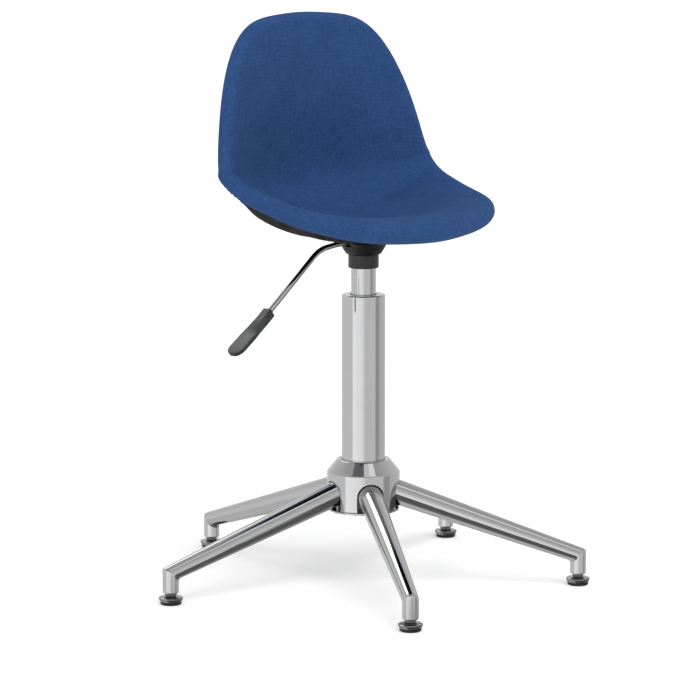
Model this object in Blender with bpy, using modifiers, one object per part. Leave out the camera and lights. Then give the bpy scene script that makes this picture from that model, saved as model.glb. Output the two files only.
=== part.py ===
"""Swivel office chair: padded bucket seat on a gas lift, with a five-leg base on levelling feet.

Metres, +Z up. The seat faces -Y and the sitter's right is -X. The world origin is on the floor, in the
middle of the chair's footprint. Every piece hangs from the empty column_axis, which stands on the axis
of the gas lift, so the sizes below are measured from that axis and from the floor.
"""

import math

import bmesh
import bpy
import numpy as np
from mathutils import Matrix, Vector

GAP = 0.0003

# Base
LEG_COUNT = 5
FOOT_CIRCLE = 0.277
COLUMN_Y = -FOOT_CIRCLE * (1 - math.cos(math.pi / LEG_COUNT)) / 2
LEG_SLOPE = math.radians(18.3)
LEG_ROOT_Z = 0.1147
HUB_RADIUS = 0.047
HUB_BOTTOM = 0.0955
HUB_SHOULDER = 0.1425
HUB_TOP = 0.1588
LEG_ROOT_RADIUS = 0.0155
LEG_WALL = 0.0016
POST_RADIUS = 0.0103
POST_BOTTOM = 0.0148
SOCKET_RADIUS = 0.0168
LEG_BOLT_CIRCLE = 0.0375
LEG_END = 0.0312

# Column and gas lift
TUBE_RADIUS = 0.0279
TUBE_WALL = 0.002
TUBE_BOTTOM = 0.0965
TUBE_TOP = 0.372
MOUTH_RADIUS = 0.0174
LIFT_RADIUS = 0.0159
LIFT_WALL = 0.0018
LIFT_BOTTOM = 0.1035
LIFT_TOP = 0.428
ROD_RADIUS = 0.005
BRACKET_TOP = 0.444
BRACKET_BOTTOM = 0.424
SEAT_BOLT_CIRCLE = 0.034

# Lever
PIVOT_X = -0.0175
PIVOT_Z = 0.439
LEVER_RADIUS = 0.0035
LEVER_PATH = ((0.003, 0.439), (-0.0175, 0.439), (-0.045, 0.4405), (-0.0825, 0.4362), (-0.1729, 0.3675))
GRIP_LENGTH = 0.081
GRIP_LIFT = 0.0035

# Seat shell, along its centre line from the front edge to the top of the backrest
CENTRE_Y = (-0.137, -0.096, -0.050, -0.002, 0.045, 0.084, 0.115, 0.120, 0.107)
CENTRE_Z = (0.466, 0.468, 0.459, 0.454, 0.458, 0.472, 0.495, 0.595, 0.730)
MIDDLE = 0.206
# Outline of the shell laid flat, as a radius about MIDDLE. Angle 0 points to the front edge.
RIM_ANGLES = (0, 15, 30, 45, 60, 75, 90, 110, 130, 145, 160, 170, 180)
RIM_RADII = (0.204, 0.204, 0.213, 0.219, 0.202, 0.189, 0.190, 0.206, 0.237, 0.269, 0.2945, 0.2915, 0.2895)
# How far the sides rise from the centre line at 200 mm out, at distances from the front edge. They rise
# square to a chord of the centre line that reaches RISE_CHORD both ways, so that they don't crease at the bend.
RISE_AT = (0, 0.06, 0.14, 0.22, 0.29, 0.39, 0.49)
SIDE_RISE = (0.004, 0.036, 0.070, 0.076, 0.079, 0.058, 0.037)
RISE_POWER = 2.2
RISE_CHORD = 0.05
# Turned-down lip and half thickness of the padded rim, by angle
EDGE_ANGLES = (0, 45, 90, 130, 180)
LIP_DROP = (0.009, 0.009, 0.005, 0, 0)
LIP_START = 0.72
RIM_HALF = (0.015, 0.013, 0.010, 0.0095, 0.0105)
CENTRE_HALF = 0.0095

FABRIC = 0.0015
SHELL_TOP = -0.002
SHELL_BOTTOM = -0.0055
SEAM_INSET = 0.008
# Half of the split between the back cover and the under cover, in radians
SPLIT_ANGLE = 0.006
# How far the under cover hangs below the upholstery, halfway out to the rim
BELLY = 0.006

AROUND = 40

COLOURS = {
    "chrome": ((0.80, 0.80, 0.81), 0.12, 1.0),
    "steel": ((0.55, 0.56, 0.58), 0.35, 1.0),
    "black_plastic": ((0.025, 0.026, 0.028), 0.5, 0.0),
    "black_steel": ((0.04, 0.04, 0.042), 0.4, 0.6),
    "nylon": ((0.05, 0.05, 0.055), 0.45, 0.0),
    "blue_fabric": ((0.035, 0.085, 0.26), 0.9, 0.0),
    "foam": ((0.80, 0.76, 0.62), 0.95, 0.0),
    "shell_plastic": ((0.06, 0.06, 0.065), 0.6, 0.0),
}


def clear_scene():
    for obj in list(bpy.data.objects):
        bpy.data.objects.remove(obj)


def new_collection(name, hidden=False):
    collection = bpy.data.collections.new(name)
    bpy.context.scene.collection.children.link(collection)
    collection.hide_render = hidden
    return collection


def new_material(piece, finish):
    colour, roughness, metallic = COLOURS[finish]
    material = bpy.data.materials.new(f"{piece}_{finish}")
    material.use_nodes = True
    shader = material.node_tree.nodes["Principled BSDF"]
    shader.inputs["Base Color"].default_value = (*colour, 1)
    shader.inputs["Roughness"].default_value = roughness
    shader.inputs["Metallic"].default_value = metallic
    return material


def add_piece(name, mesh, finish, angle=0.0):
    """Adds a mesh to the chair, turned by angle about the column axis."""
    obj = bpy.data.objects.new(name, mesh)
    if not mesh.materials:
        mesh.materials.append(new_material(name, finish))
    chair.objects.link(obj)
    obj.parent = column_axis
    obj.rotation_euler.z = angle
    mesh.shade_smooth()
    mesh.set_sharp_from_angle(angle=math.radians(35))
    return obj


def add_cutter(name, mesh, angle=0.0):
    obj = bpy.data.objects.new(name, mesh)
    cutters.objects.link(obj)
    obj.parent = column_axis
    obj.rotation_euler.z = angle
    obj.hide_render = True
    obj.display_type = "WIRE"
    return obj


def boolean(obj, other, operation="DIFFERENCE", solver="EXACT"):
    modifier = obj.modifiers.new(other.name, "BOOLEAN")
    modifier.operation = operation
    modifier.solver = solver
    modifier.object = other


def profile_mesh(name, profile, closed):
    """A line in the XZ plane, for a Screw modifier."""
    points = [(r, 0, z) for r, z in profile]
    count = len(points)
    edges = [(i, i + 1) for i in range(count - 1)]
    if closed:
        edges.append((count - 1, 0))
    mesh = bpy.data.meshes.new(name)
    mesh.from_pydata(points, edges, [])
    return mesh


def screw(obj, steps):
    modifier = obj.modifiers.new("Turn", "SCREW")
    modifier.axis = "Z"
    modifier.steps = steps
    modifier.render_steps = steps
    modifier.use_merge_vertices = True
    modifier.merge_threshold = 0.00005
    modifier.use_smooth_shade = True


def turned(name, profile, finish, steps=32):
    """A solid turned about the column axis. A profile that starts off the axis is a closed ring section."""
    obj = add_piece(name, profile_mesh(name, profile, profile[0][0] > 0), finish)
    screw(obj, steps)
    return obj


def turned_cutter(name, profile, steps=32):
    obj = add_cutter(name, profile_mesh(name, profile, profile[0][0] > 0))
    screw(obj, steps)
    return obj


def cylinder_mesh(name, radius, bottom, top, centre=(0, 0), segments=16):
    shape = bmesh.new()
    place = Matrix.Translation((centre[0], centre[1], (bottom + top) / 2))
    bmesh.ops.create_cone(
        shape, cap_ends=True, segments=segments, radius1=radius, radius2=radius, depth=top - bottom, matrix=place
    )
    mesh = bpy.data.meshes.new(name)
    shape.to_mesh(mesh)
    shape.free()
    return mesh


def bridge(shape, low, high, closed=True):
    """Triangles between two rows of vertices. Every layer splits its squares along the same diagonal."""
    spread = [(row[0].co - row[len(row) // 2].co).length for row in (low, high)]
    inner, outer = (low, high) if spread[0] < spread[1] else (high, low)
    count = len(low)
    for i in range(count if closed else count - 1):
        j = (i + 1) % count
        shape.faces.new((inner[i], inner[j], outer[j]))
        shape.faces.new((inner[i], outer[j], outer[i]))


def finished(shape, name):
    """Turns the faces outwards and writes the mesh."""
    bmesh.ops.recalc_face_normals(shape, faces=shape.faces)
    if shape.calc_volume(signed=True) < 0:
        bmesh.ops.reverse_faces(shape, faces=shape.faces)
    mesh = bpy.data.meshes.new(name)
    shape.to_mesh(mesh)
    shape.free()
    return mesh


def loft(name, rings):
    """A closed solid through rings of equal length, with a cap on the first and on the last."""
    shape = bmesh.new()
    rows = [[shape.verts.new(point) for point in ring] for ring in rings]
    count = len(rows[0])
    for low, high in zip(rows, rows[1:]):
        bridge(shape, low, high)
    for row in (rows[0], rows[-1]):
        middle = shape.verts.new(sum((vert.co for vert in row), Vector()) / count)
        for i in range(count):
            shape.faces.new((row[i], row[(i + 1) % count], middle))
    return finished(shape, name)


def spline(stations, values, at, flat_ends=False):
    """Cubic spline through the stations, with no bend or, for flat_ends, no slope at its ends."""
    x = np.asarray(stations, float)
    y = np.asarray(values, float)
    step = np.diff(x)
    slope = np.diff(y) / step
    count = len(x)
    system = np.eye(count)
    target = np.zeros(count)
    for i in range(1, count - 1):
        system[i, i - 1 : i + 2] = step[i - 1], 2 * (step[i - 1] + step[i]), step[i]
        target[i] = 6 * (slope[i] - slope[i - 1])
    if flat_ends:
        system[0, :2] = 2 * step[0], step[0]
        system[-1, -2:] = step[-1], 2 * step[-1]
        target[0] = 6 * slope[0]
        target[-1] = -6 * slope[-1]
    bend = np.linalg.solve(system, target)
    at = np.asarray(at, float)
    k = np.clip(np.searchsorted(x, at) - 1, 0, count - 2)
    after = at - x[k]
    before = x[k + 1] - at
    width = step[k]
    cubic = (bend[k] * before**3 + bend[k + 1] * after**3) / (6 * width)
    line = (y[k] / width - bend[k] * width / 6) * before + (y[k + 1] / width - bend[k + 1] * width / 6) * after
    return cubic + line


CENTRE_AT = np.concatenate([[0], np.cumsum(np.hypot(np.diff(CENTRE_Y), np.diff(CENTRE_Z)))])


def centre_line(along):
    """Point (y, z) on the shell's centre line, which runs straight on past both ends."""
    inside = np.clip(along, 0, CENTRE_AT[-1])
    step = 0.0005
    near = np.clip(along, step, CENTRE_AT[-1] - step)
    point = []
    for values in (CENTRE_Y, CENTRE_Z):
        slope = (spline(CENTRE_AT, values, near + step) - spline(CENTRE_AT, values, near - step)) / (2 * step)
        point.append(spline(CENTRE_AT, values, inside) + (along - inside) * slope)
    return point


def by_angle(angles, values, theta):
    turn = np.abs((theta + np.pi) % (2 * np.pi) - np.pi)
    return spline(np.radians(angles), values, turn, flat_ends=True)


def rim_radius(theta):
    return by_angle(RIM_ANGLES, RIM_RADII, theta)


def rim_half(theta):
    return by_angle(EDGE_ANGLES, RIM_HALF, theta)


def middle_surface(share, theta):
    """The shell's middle surface: share 0 is its middle and 1 its rim, theta 0 is the front."""
    radius = rim_radius(theta) * share
    x = radius * np.sin(theta)
    along = MIDDLE - radius * np.cos(theta)
    y, z = centre_line(along)
    chord_y, chord_z = np.subtract(centre_line(along + RISE_CHORD), centre_line(along - RISE_CHORD))
    length = np.hypot(chord_y, chord_z)
    rise = spline(RISE_AT, SIDE_RISE, np.clip(along, 0, RISE_AT[-1])) * (np.abs(x) / 0.2) ** RISE_POWER
    outer = np.clip((share - LIP_START) / (1 - LIP_START), 0, None)
    rise = rise - by_angle(EDGE_ANGLES, LIP_DROP, theta) * outer**2
    return np.stack([x, y - rise * chord_z / length, z + rise * chord_y / length], axis=-1)


def seat_point(share, theta, level):
    """A point at a level over the middle surface, positive on the sitter's side."""
    theta = np.asarray(theta, float)
    share = share + 0 * theta
    near = np.clip(share, 0.03, 0.985)
    step = 0.002
    outward = middle_surface(near + step, theta) - middle_surface(near - step, theta)
    round_rim = middle_surface(near, theta + step) - middle_surface(near, theta - step)
    normal = np.cross(outward, round_rim)
    normal /= np.linalg.norm(normal, axis=-1, keepdims=True)
    return middle_surface(share, theta) + normal * (level + 0 * theta)[..., None]


def face_level(fraction, theta):
    """Half thickness of the upholstered seat, from its middle to where the round rim begins."""
    return CENTRE_HALF + (rim_half(theta) - CENTRE_HALF) * fraction**3


def rim_start(theta):
    return 1 - rim_half(theta) / rim_radius(theta)


def front_rings(theta, inset, fractions):
    """Rings over the sitter's side, inset below the outer face."""
    return [seat_point(f * rim_start(theta), theta, face_level(f, theta) - inset) for f in fractions]


def rim_rings(theta, inset, angles):
    """Rings round the half-round rim. Angle 90 is the face, 0 the edge and -90 the underside."""
    half = rim_half(theta)
    rings = []
    for angle in np.radians(angles):
        share = rim_start(theta) + (half - inset) * math.cos(angle) / rim_radius(theta)
        rings.append(seat_point(share, theta, (half - inset) * math.sin(angle)))
    return rings


def back_ring(theta, inset, distance):
    """A ring on the underside, at a distance in from where the round rim ends."""
    share = rim_start(theta) - distance / rim_radius(theta)
    return seat_point(share, theta, inset - rim_half(theta))


def flat_ring(theta, level, edge):
    """A ring at a level, where the shell is cut off at a distance outside the start of the round rim."""
    return seat_point(rim_start(theta) + edge / rim_radius(theta), theta, level)


FRACTIONS = (0.12, 0.35, 0.6, 0.8, 0.92)
THETA = np.linspace(0, 2 * np.pi, AROUND, endpoint=False)


def make_front_cover():
    """Fabric over the seat and backrest, wrapped round the rim and turned in behind."""
    angles = (90, 45, 0, -45, -90)
    outer = front_rings(THETA, 0, FRACTIONS) + rim_rings(THETA, 0, angles)
    outer.append(back_ring(THETA, 0, SEAM_INSET))
    inner = front_rings(THETA, FABRIC, FRACTIONS) + rim_rings(THETA, FABRIC, angles)
    inner.append(back_ring(THETA, FABRIC, SEAM_INSET))
    return add_piece("front_cover", loft("front_cover", outer + inner[::-1]), "blue_fabric")


def make_foam_pad():
    inset = FABRIC + 0.001
    bottom = SHELL_TOP + 2 * GAP
    top = front_rings(THETA, inset, FRACTIONS) + rim_rings(THETA, inset, (90, 45, 0))
    under = [flat_ring(THETA, bottom, 0.0045)]
    under += [seat_point(f * rim_start(THETA), THETA, bottom) for f in FRACTIONS[::-1]]
    return add_piece("foam_pad", loft("foam_pad", top + under), "foam")


def bolt_places():
    """Centres of the four seat bolts, as seen from the column axis."""
    return [
        (SEAT_BOLT_CIRCLE * math.cos(math.radians(a)), SEAT_BOLT_CIRCLE * math.sin(math.radians(a)))
        for a in (45, 135, 225, 315)
    ]


def make_seat_shell():
    """Moulded shell with a boss over each seat bolt."""
    top = [seat_point(f * rim_start(THETA), THETA, SHELL_TOP) for f in FRACTIONS]
    top.append(flat_ring(THETA, SHELL_TOP, 0.003))
    bottom = [flat_ring(THETA, SHELL_BOTTOM, 0.003)]
    bottom += [seat_point(f * rim_start(THETA), THETA, SHELL_BOTTOM) for f in FRACTIONS[::-1]]
    shell = add_piece("seat_shell", loft("seat_shell", top + bottom), "shell_plastic")
    for i, place in enumerate(bolt_places(), 1):
        low = BRACKET_TOP + GAP
        boss = add_cutter(f"boss_{i}", cylinder_mesh(f"boss_{i}", 0.0075, low, 0.4526, place))
        boolean(shell, boss, "UNION", "MANIFOLD")
    for i, place in enumerate(bolt_places(), 1):
        hole = add_cutter(f"boss_hole_{i}", cylinder_mesh(f"boss_hole_{i}", 0.0046, 0.44, 0.4500, place))
        boolean(shell, hole, solver="MANIFOLD")
    return shell


def sector_mesh(name, start, inset, belly=0.0):
    """An open sheet over half of the underside, from the middle out to the turned-in seam.

    It starts at a rim angle and keeps the other layers' grid, so that the layers stay parallel.
    """
    theta = np.radians(start) + np.linspace(0, np.pi, AROUND // 2 + 1)
    theta[0] += SPLIT_ANGLE
    theta[-1] -= SPLIT_ANGLE
    outermost = 1 - (SEAM_INSET + 2 * GAP) / (rim_radius(theta) * rim_start(theta))
    shape = bmesh.new()
    rows = []
    for fraction in (*FRACTIONS, outermost):
        hang = belly * np.sin(np.pi * np.clip((fraction - 0.3) / 0.68, 0, 1)) ** 2
        ring = seat_point(fraction * rim_start(theta), theta, inset - hang - face_level(fraction, theta))
        rows.append([shape.verts.new(point) for point in ring])
    for low, high in zip(rows, rows[1:]):
        bridge(shape, low, high, closed=False)
    return finished(shape, name)


def make_back_cover():
    """Fabric panel over the outside of the backrest, from the bend behind the seat up to the rim."""
    cover = add_piece("back_cover", sector_mesh("back_cover", 90, FABRIC / 2), "blue_fabric")
    thicken(cover, FABRIC)
    return cover


def thicken(obj, thickness):
    modifier = obj.modifiers.new("Thickness", "SOLIDIFY")
    modifier.thickness = thickness
    modifier.offset = 0
    modifier.use_even_offset = False


def make_under_cover():
    """Black moulded cover under the seat, with an opening for the bracket."""
    cover = add_piece("under_cover", sector_mesh("under_cover", -90, 0.001, BELLY), "black_plastic")
    thicken(cover, 0.002)
    opening = add_cutter("bracket_opening", cylinder_mesh("bracket_opening", 0.0425, 0.43, 0.47, segments=48))
    boolean(cover, opening)
    return cover


def leg_angle(i):
    """The first leg points straight back."""
    return math.radians(90 + 360 / LEG_COUNT * i)


def leg_axis_z(radius):
    return LEG_ROOT_Z - (radius - HUB_RADIUS) * math.tan(LEG_SLOPE)


def leg_ring(radius, size, segments, upright=False):
    """A ring round the leg, whose axis falls outwards: square to the axis, or cut upright."""
    up = Vector((math.sin(LEG_SLOPE), 0, math.cos(LEG_SLOPE)))
    if upright:
        up = Vector((0, 0, 1 / math.cos(LEG_SLOPE)))
    side = Vector((0, -1, 0))
    centre = Vector((radius, 0, leg_axis_z(radius)))
    turns = [2 * math.pi * k / segments for k in range(segments)]
    return [centre + size * (math.cos(t) * up + math.sin(t) * side) for t in turns]


def post_ring(height, size, segments):
    """A level ring of the upright post, numbered like leg_ring, with its top point turned outwards."""
    turns = [2 * math.pi * k / segments for k in range(segments)]
    out = Vector((1, 0, 0))
    side = Vector((0, -1, 0))
    centre = Vector((FOOT_CIRCLE, 0, height))
    return [centre + size * (math.cos(t) * out + math.sin(t) * side) for t in turns]


def mitre_ring(size, segments):
    """Where the post meets the leg, on the plane that halves the angle between them."""
    elbow_z = leg_axis_z(FOOT_CIRCLE)
    tilt = (math.pi / 2 - LEG_SLOPE) / 2 + LEG_SLOPE
    ring = []
    for point in post_ring(elbow_z, size, segments):
        ring.append(point + Vector((0, 0, (point.x - FOOT_CIRCLE) * math.tan(math.pi / 2 - tilt))))
    return ring


def leg_mesh():
    """Tapered tube, mitred into an upright post that is bored for its levelling foot."""
    segments = 20
    bore = 0.0043
    root_size = LEG_ROOT_RADIUS + (HUB_RADIUS - LEG_END) * 0.02
    plug_end = 0.056
    rings = [
        leg_ring(LEG_END, root_size, segments, upright=True),
        leg_ring(HUB_RADIUS, LEG_ROOT_RADIUS, segments),
        mitre_ring(POST_RADIUS, segments),
        post_ring(POST_BOTTOM + 0.0015, POST_RADIUS, segments),
        post_ring(POST_BOTTOM, POST_RADIUS - 0.0015, segments),
        post_ring(POST_BOTTOM, bore, segments),
        post_ring(0.036, bore, segments),
        mitre_ring(POST_RADIUS - LEG_WALL, segments),
        leg_ring(plug_end, LEG_ROOT_RADIUS - LEG_WALL, segments),
    ]
    return loft("leg", rings)


def make_legs():
    mesh = leg_mesh()
    hole = cylinder_mesh("leg_bolt_hole", 0.0024, 0.09, 0.1155, (LEG_BOLT_CIRCLE, 0))
    for i in range(LEG_COUNT):
        copy = mesh.copy()
        leg = add_piece(f"leg_{i + 1}", copy, "chrome", leg_angle(i))
        boolean(leg, add_cutter(f"leg_bolt_hole_{i + 1}", hole, leg_angle(i)))


def make_leg_bolts():
    """Screws that hold the legs, up through the base plate."""
    head = 0.0042
    shaft = 0.0021
    seat = 0.0925
    for i in range(LEG_COUNT):
        profile = ((0, 0.115), (shaft, 0.115), (shaft, seat), (head, seat), (head, 0.0905), (0, 0.0905))
        bolt = turned(f"leg_bolt_{i + 1}", profile, "steel", 12)
        move_out(bolt, LEG_BOLT_CIRCLE, leg_angle(i))


def move_out(obj, radius, angle):
    obj.location = (radius * math.cos(angle), radius * math.sin(angle), 0)


def socket_mesh():
    """Arched cutter along the leg's axis, open downwards."""
    arch = [(SOCKET_RADIUS * math.cos(a), SOCKET_RADIUS * math.sin(a)) for a in np.linspace(0, math.pi, 13)]
    outline = [(SOCKET_RADIUS, -0.05)] + arch + [(-SOCKET_RADIUS, -0.05)]
    up = Vector((0, 0, 1 / math.cos(LEG_SLOPE)))
    side = Vector((0, 1, 0))
    rings = []
    for radius in (LEG_END - 0.0012, HUB_RADIUS + 0.03):
        centre = Vector((radius, 0, leg_axis_z(radius)))
        rings.append([centre + y * side + h * up for y, h in outline])
    return loft("socket", rings)


def make_hub():
    """Chromed hub: a bored cylinder with a bevelled shoulder and an arched socket for each leg."""
    bore = TUBE_RADIUS + GAP
    profile = (
        (bore, HUB_TOP),
        (0.0330, HUB_TOP),
        (0.0342, HUB_TOP - 0.0006),
        (HUB_RADIUS - 0.0010, HUB_SHOULDER + 0.0010),
        (HUB_RADIUS, HUB_SHOULDER - 0.0014),
        (HUB_RADIUS, HUB_BOTTOM + 0.001),
        (HUB_RADIUS - 0.001, HUB_BOTTOM),
        (bore, HUB_BOTTOM),
    )
    hub = turned("hub", profile, "chrome", 40)
    mesh = socket_mesh()
    for i in range(LEG_COUNT):
        boolean(hub, add_cutter(f"socket_{i + 1}", mesh, leg_angle(i)))
    return hub


def make_base_plate():
    """Ring that closes the hub from below and carries the column tube."""
    top = HUB_BOTTOM - GAP
    rim = HUB_RADIUS - 0.0006
    plate = turned("base_plate", ((0.02, top), (rim, top), (rim, 0.0928), (0.02, 0.0928)), "chrome")
    hole = cylinder_mesh("plate_hole", 0.0024, 0.09, 0.1, (LEG_BOLT_CIRCLE, 0))
    for i in range(LEG_COUNT):
        boolean(plate, add_cutter(f"plate_hole_{i + 1}", hole, leg_angle(i)))
    return plate


def make_column():
    """Outer tube with a turned-in mouth, its guide bushing and its bottom plate."""
    inner = TUBE_RADIUS - TUBE_WALL
    under_lip = TUBE_TOP - 0.0016
    profile = (
        (MOUTH_RADIUS, TUBE_TOP),
        (TUBE_RADIUS - 0.0016, TUBE_TOP),
        (TUBE_RADIUS - 0.0005, TUBE_TOP - 0.0006),
        (TUBE_RADIUS, TUBE_TOP - 0.0020),
        (TUBE_RADIUS, TUBE_BOTTOM),
        (inner, TUBE_BOTTOM),
        (inner, under_lip),
        (MOUTH_RADIUS, under_lip),
    )
    turned("column_tube", profile, "chrome", 40)
    guide = LIFT_RADIUS + GAP
    outer = inner - GAP
    high = under_lip - GAP
    low = 0.325
    turned("guide_bushing", ((guide, high), (outer, high), (outer, low), (guide, low)), "nylon", 32)
    high = TUBE_BOTTOM + 0.0025
    hole = ROD_RADIUS + 0.0006
    turned("tube_end_plate", ((hole, high), (outer, high), (outer, TUBE_BOTTOM), (hole, TUBE_BOTTOM)), "steel", 24)


def make_bearing():
    """Thrust bearing under the piston rod's shoulder: lower race, ball cage and upper race."""
    hole = ROD_RADIUS + 0.0006
    rim = 0.0085
    layers = (("lower_race", 0.0993, 0.1003), ("ball_cage", 0.1006, 0.1018), ("upper_race", 0.1021, 0.1031))
    for name, low, high in layers:
        turned(f"bearing_{name}", ((hole, high), (rim, high), (rim, low), (hole, low)), "steel", 16)


def make_piston_rod():
    """Rod with a shoulder on the bearing, a groove for its clip and a neck for the piston."""
    groove = ROD_RADIUS - 0.0009
    neck = 0.0035
    profile = (
        (0, 0.382),
        (neck, 0.382),
        (neck, 0.370),
        (ROD_RADIUS, 0.370),
        (ROD_RADIUS, 0.1054),
        (0.0085, 0.1054),
        (0.0085, 0.1034),
        (ROD_RADIUS, 0.1034),
        (ROD_RADIUS, 0.0964),
        (groove, 0.0964),
        (groove, 0.0948),
        (ROD_RADIUS, 0.0948),
        (ROD_RADIUS - 0.0008, 0.0930),
        (0, 0.0930),
    )
    turned("piston_rod", profile, "steel", 16)
    bore = neck + GAP
    turned("piston", ((bore, 0.3815), (0.0137, 0.3815), (0.0137, 0.3703), (bore, 0.3703)), "nylon", 16)
    inner = groove + GAP
    turned("retaining_clip", ((inner, 0.0962), (0.008, 0.0962), (0.008, 0.0950), (inner, 0.0950)), "steel", 16)


def make_gas_cylinder():
    """Pressure tube with a turned-in top, its gland at the bottom and its valve block at the top."""
    inner = LIFT_RADIUS - LIFT_WALL
    profile = (
        (0.010, LIFT_TOP),
        (LIFT_RADIUS - 0.0012, LIFT_TOP),
        (LIFT_RADIUS, LIFT_TOP - 0.0014),
        (LIFT_RADIUS, LIFT_BOTTOM),
        (inner, LIFT_BOTTOM),
        (inner, LIFT_TOP - 0.002),
        (0.010, LIFT_TOP - 0.002),
    )
    turned("gas_cylinder", profile, "chrome", 32)
    outer = inner - GAP
    gland = ROD_RADIUS + GAP
    turned("cylinder_gland", ((gland, 0.1195), (outer, 0.1195), (outer, 0.1065), (gland, 0.1065)), "nylon", 16)
    bore = 0.0042
    high = LIFT_TOP - 0.0023
    turned("valve_block", ((bore, high), (outer, high), (outer, 0.415), (bore, 0.415)), "steel", 16)
    turned("release_pin", ((0, 0.4351), (0.0034, 0.4351), (0.0038, 0.4347), (0.0038, 0.420), (0, 0.420)), "steel", 16)
    ring = LIFT_RADIUS + GAP
    collar = ((ring, 0.4236), (0.0189, 0.4236), (0.0195, 0.4230), (0.0195, 0.4068), (0.0187, 0.406), (ring, 0.406))
    turned("collar_ring", collar, "black_plastic", 32)


def make_seat_bracket():
    """Trumpet-shaped bracket on top of the gas cylinder, bolted under the shell."""
    bore = LIFT_RADIUS + GAP
    cavity = 0.0185
    profile = (
        (cavity, BRACKET_TOP),
        (0.0394, BRACKET_TOP),
        (0.0400, 0.4434),
        (0.0396, 0.4414),
        (0.0350, 0.4401),
        (0.0312, 0.4378),
        (0.0285, 0.4342),
        (0.0262, 0.4300),
        (0.0235, 0.4262),
        (0.0225, 0.4250),
        (0.0222, BRACKET_BOTTOM),
        (bore, BRACKET_BOTTOM),
        (bore, 0.4285),
        (cavity, 0.4285),
    )
    bracket = turned("seat_bracket", profile, "black_plastic", 32)
    slot = bmesh.new()
    place = Matrix.Translation((-0.03, 0, 0.4435)) @ Matrix.Diagonal((0.034, 0.0096, 0.018, 1))
    bmesh.ops.create_cube(slot, size=1, matrix=place)
    mesh = bpy.data.meshes.new("lever_slot")
    slot.to_mesh(mesh)
    slot.free()
    boolean(bracket, add_cutter("lever_slot", mesh))
    boolean(bracket, add_cutter("pivot_holes", crosswise(0.0018, 0.0275)))
    for i, place in enumerate(bolt_places(), 1):
        hole = turned_cutter(f"bolt_hole_{i}", countersunk(GAP, 0.45, 0.43), 12)
        hole.location = (*place, 0)
        boolean(bracket, hole)
    return bracket


def countersunk(clearance, top, bottom):
    """Profile of a countersunk bolt, or with a clearance of the hole for it."""
    shaft = 0.0025 + clearance
    head = 0.0045 + clearance
    return ((0, top), (shaft, top), (shaft, 0.4432), (head, 0.4412), (head, bottom), (0, bottom))


def crosswise(radius, length):
    """A short bar along Y through the lever's pivot."""
    shape = bmesh.new()
    place = Matrix.Translation((PIVOT_X, 0, PIVOT_Z)) @ Matrix.Rotation(math.pi / 2, 4, "X")
    bmesh.ops.create_cone(shape, cap_ends=True, segments=16, radius1=radius, radius2=radius, depth=length, matrix=place)
    mesh = bpy.data.meshes.new("crosswise")
    shape.to_mesh(mesh)
    shape.free()
    return mesh


def make_seat_fasteners():
    for i, place in enumerate(bolt_places(), 1):
        bolt = turned(f"seat_bolt_{i}", countersunk(0, 0.4490, 0.4407), "steel", 12)
        bolt.location = (*place, 0)
        insert = turned(
            f"seat_insert_{i}", ((0.0028, 0.4495), (0.0043, 0.4495), (0.0043, 0.4446), (0.0028, 0.4446)), "steel", 12
        )
        insert.location = (*place, 0)


def make_lever():
    """Bent chrome rod with a cross hole for its pivot, the pivot pin and the plastic grip."""
    curve = bpy.data.curves.new("lever_rod", "CURVE")
    curve.dimensions = "3D"
    curve.bevel_depth = LEVER_RADIUS
    curve.bevel_resolution = 2
    curve.use_fill_caps = True
    points = lever_points()
    line = curve.splines.new("POLY")
    line.points.add(len(points) - 1)
    for point, (x, z) in zip(line.points, points):
        point.co = (x, 0, z, 1)
    guide = bpy.data.objects.new("lever_guide", curve)
    cutters.objects.link(guide)
    guide.hide_render = True
    graph = bpy.context.evaluated_depsgraph_get()
    mesh = bpy.data.meshes.new_from_object(guide.evaluated_get(graph))
    bpy.data.objects.remove(guide)
    shape = bmesh.new()
    shape.from_mesh(mesh)
    bmesh.ops.remove_doubles(shape, verts=shape.verts, dist=0.00001)
    bmesh.ops.recalc_face_normals(shape, faces=shape.faces)
    shape.to_mesh(mesh)
    shape.free()
    mesh.name = "lever_rod"
    rod = add_piece("lever_rod", mesh, "chrome")
    boolean(rod, add_cutter("pivot_eye", crosswise(0.0018, 0.02)))
    add_piece("lever_pivot_pin", crosswise(0.0015, 0.0265), "steel")
    add_piece("lever_grip", grip_mesh(), "black_plastic")


def lever_points():
    """The lever's path with each bend rounded, and its outer end inside the grip."""
    path = [Vector((x, z)) for x, z in LEVER_PATH]
    outward = (path[-1] - path[-2]).normalized()
    path[-1] = path[-1] + outward * 0.0172
    points = [path[0]]
    for before, corner, after in zip(path, path[1:], path[2:]):
        reach = min(0.014, (corner - before).length / 2.5, (after - corner).length / 2.5)
        start = corner + (before - corner).normalized() * reach
        end = corner + (after - corner).normalized() * reach
        for t in np.linspace(0, 1, 5):
            points.append(start * (1 - t) ** 2 + corner * 2 * t * (1 - t) + end * t**2)
    points.append(path[-1])
    return [tuple(point) for point in points]


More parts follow.
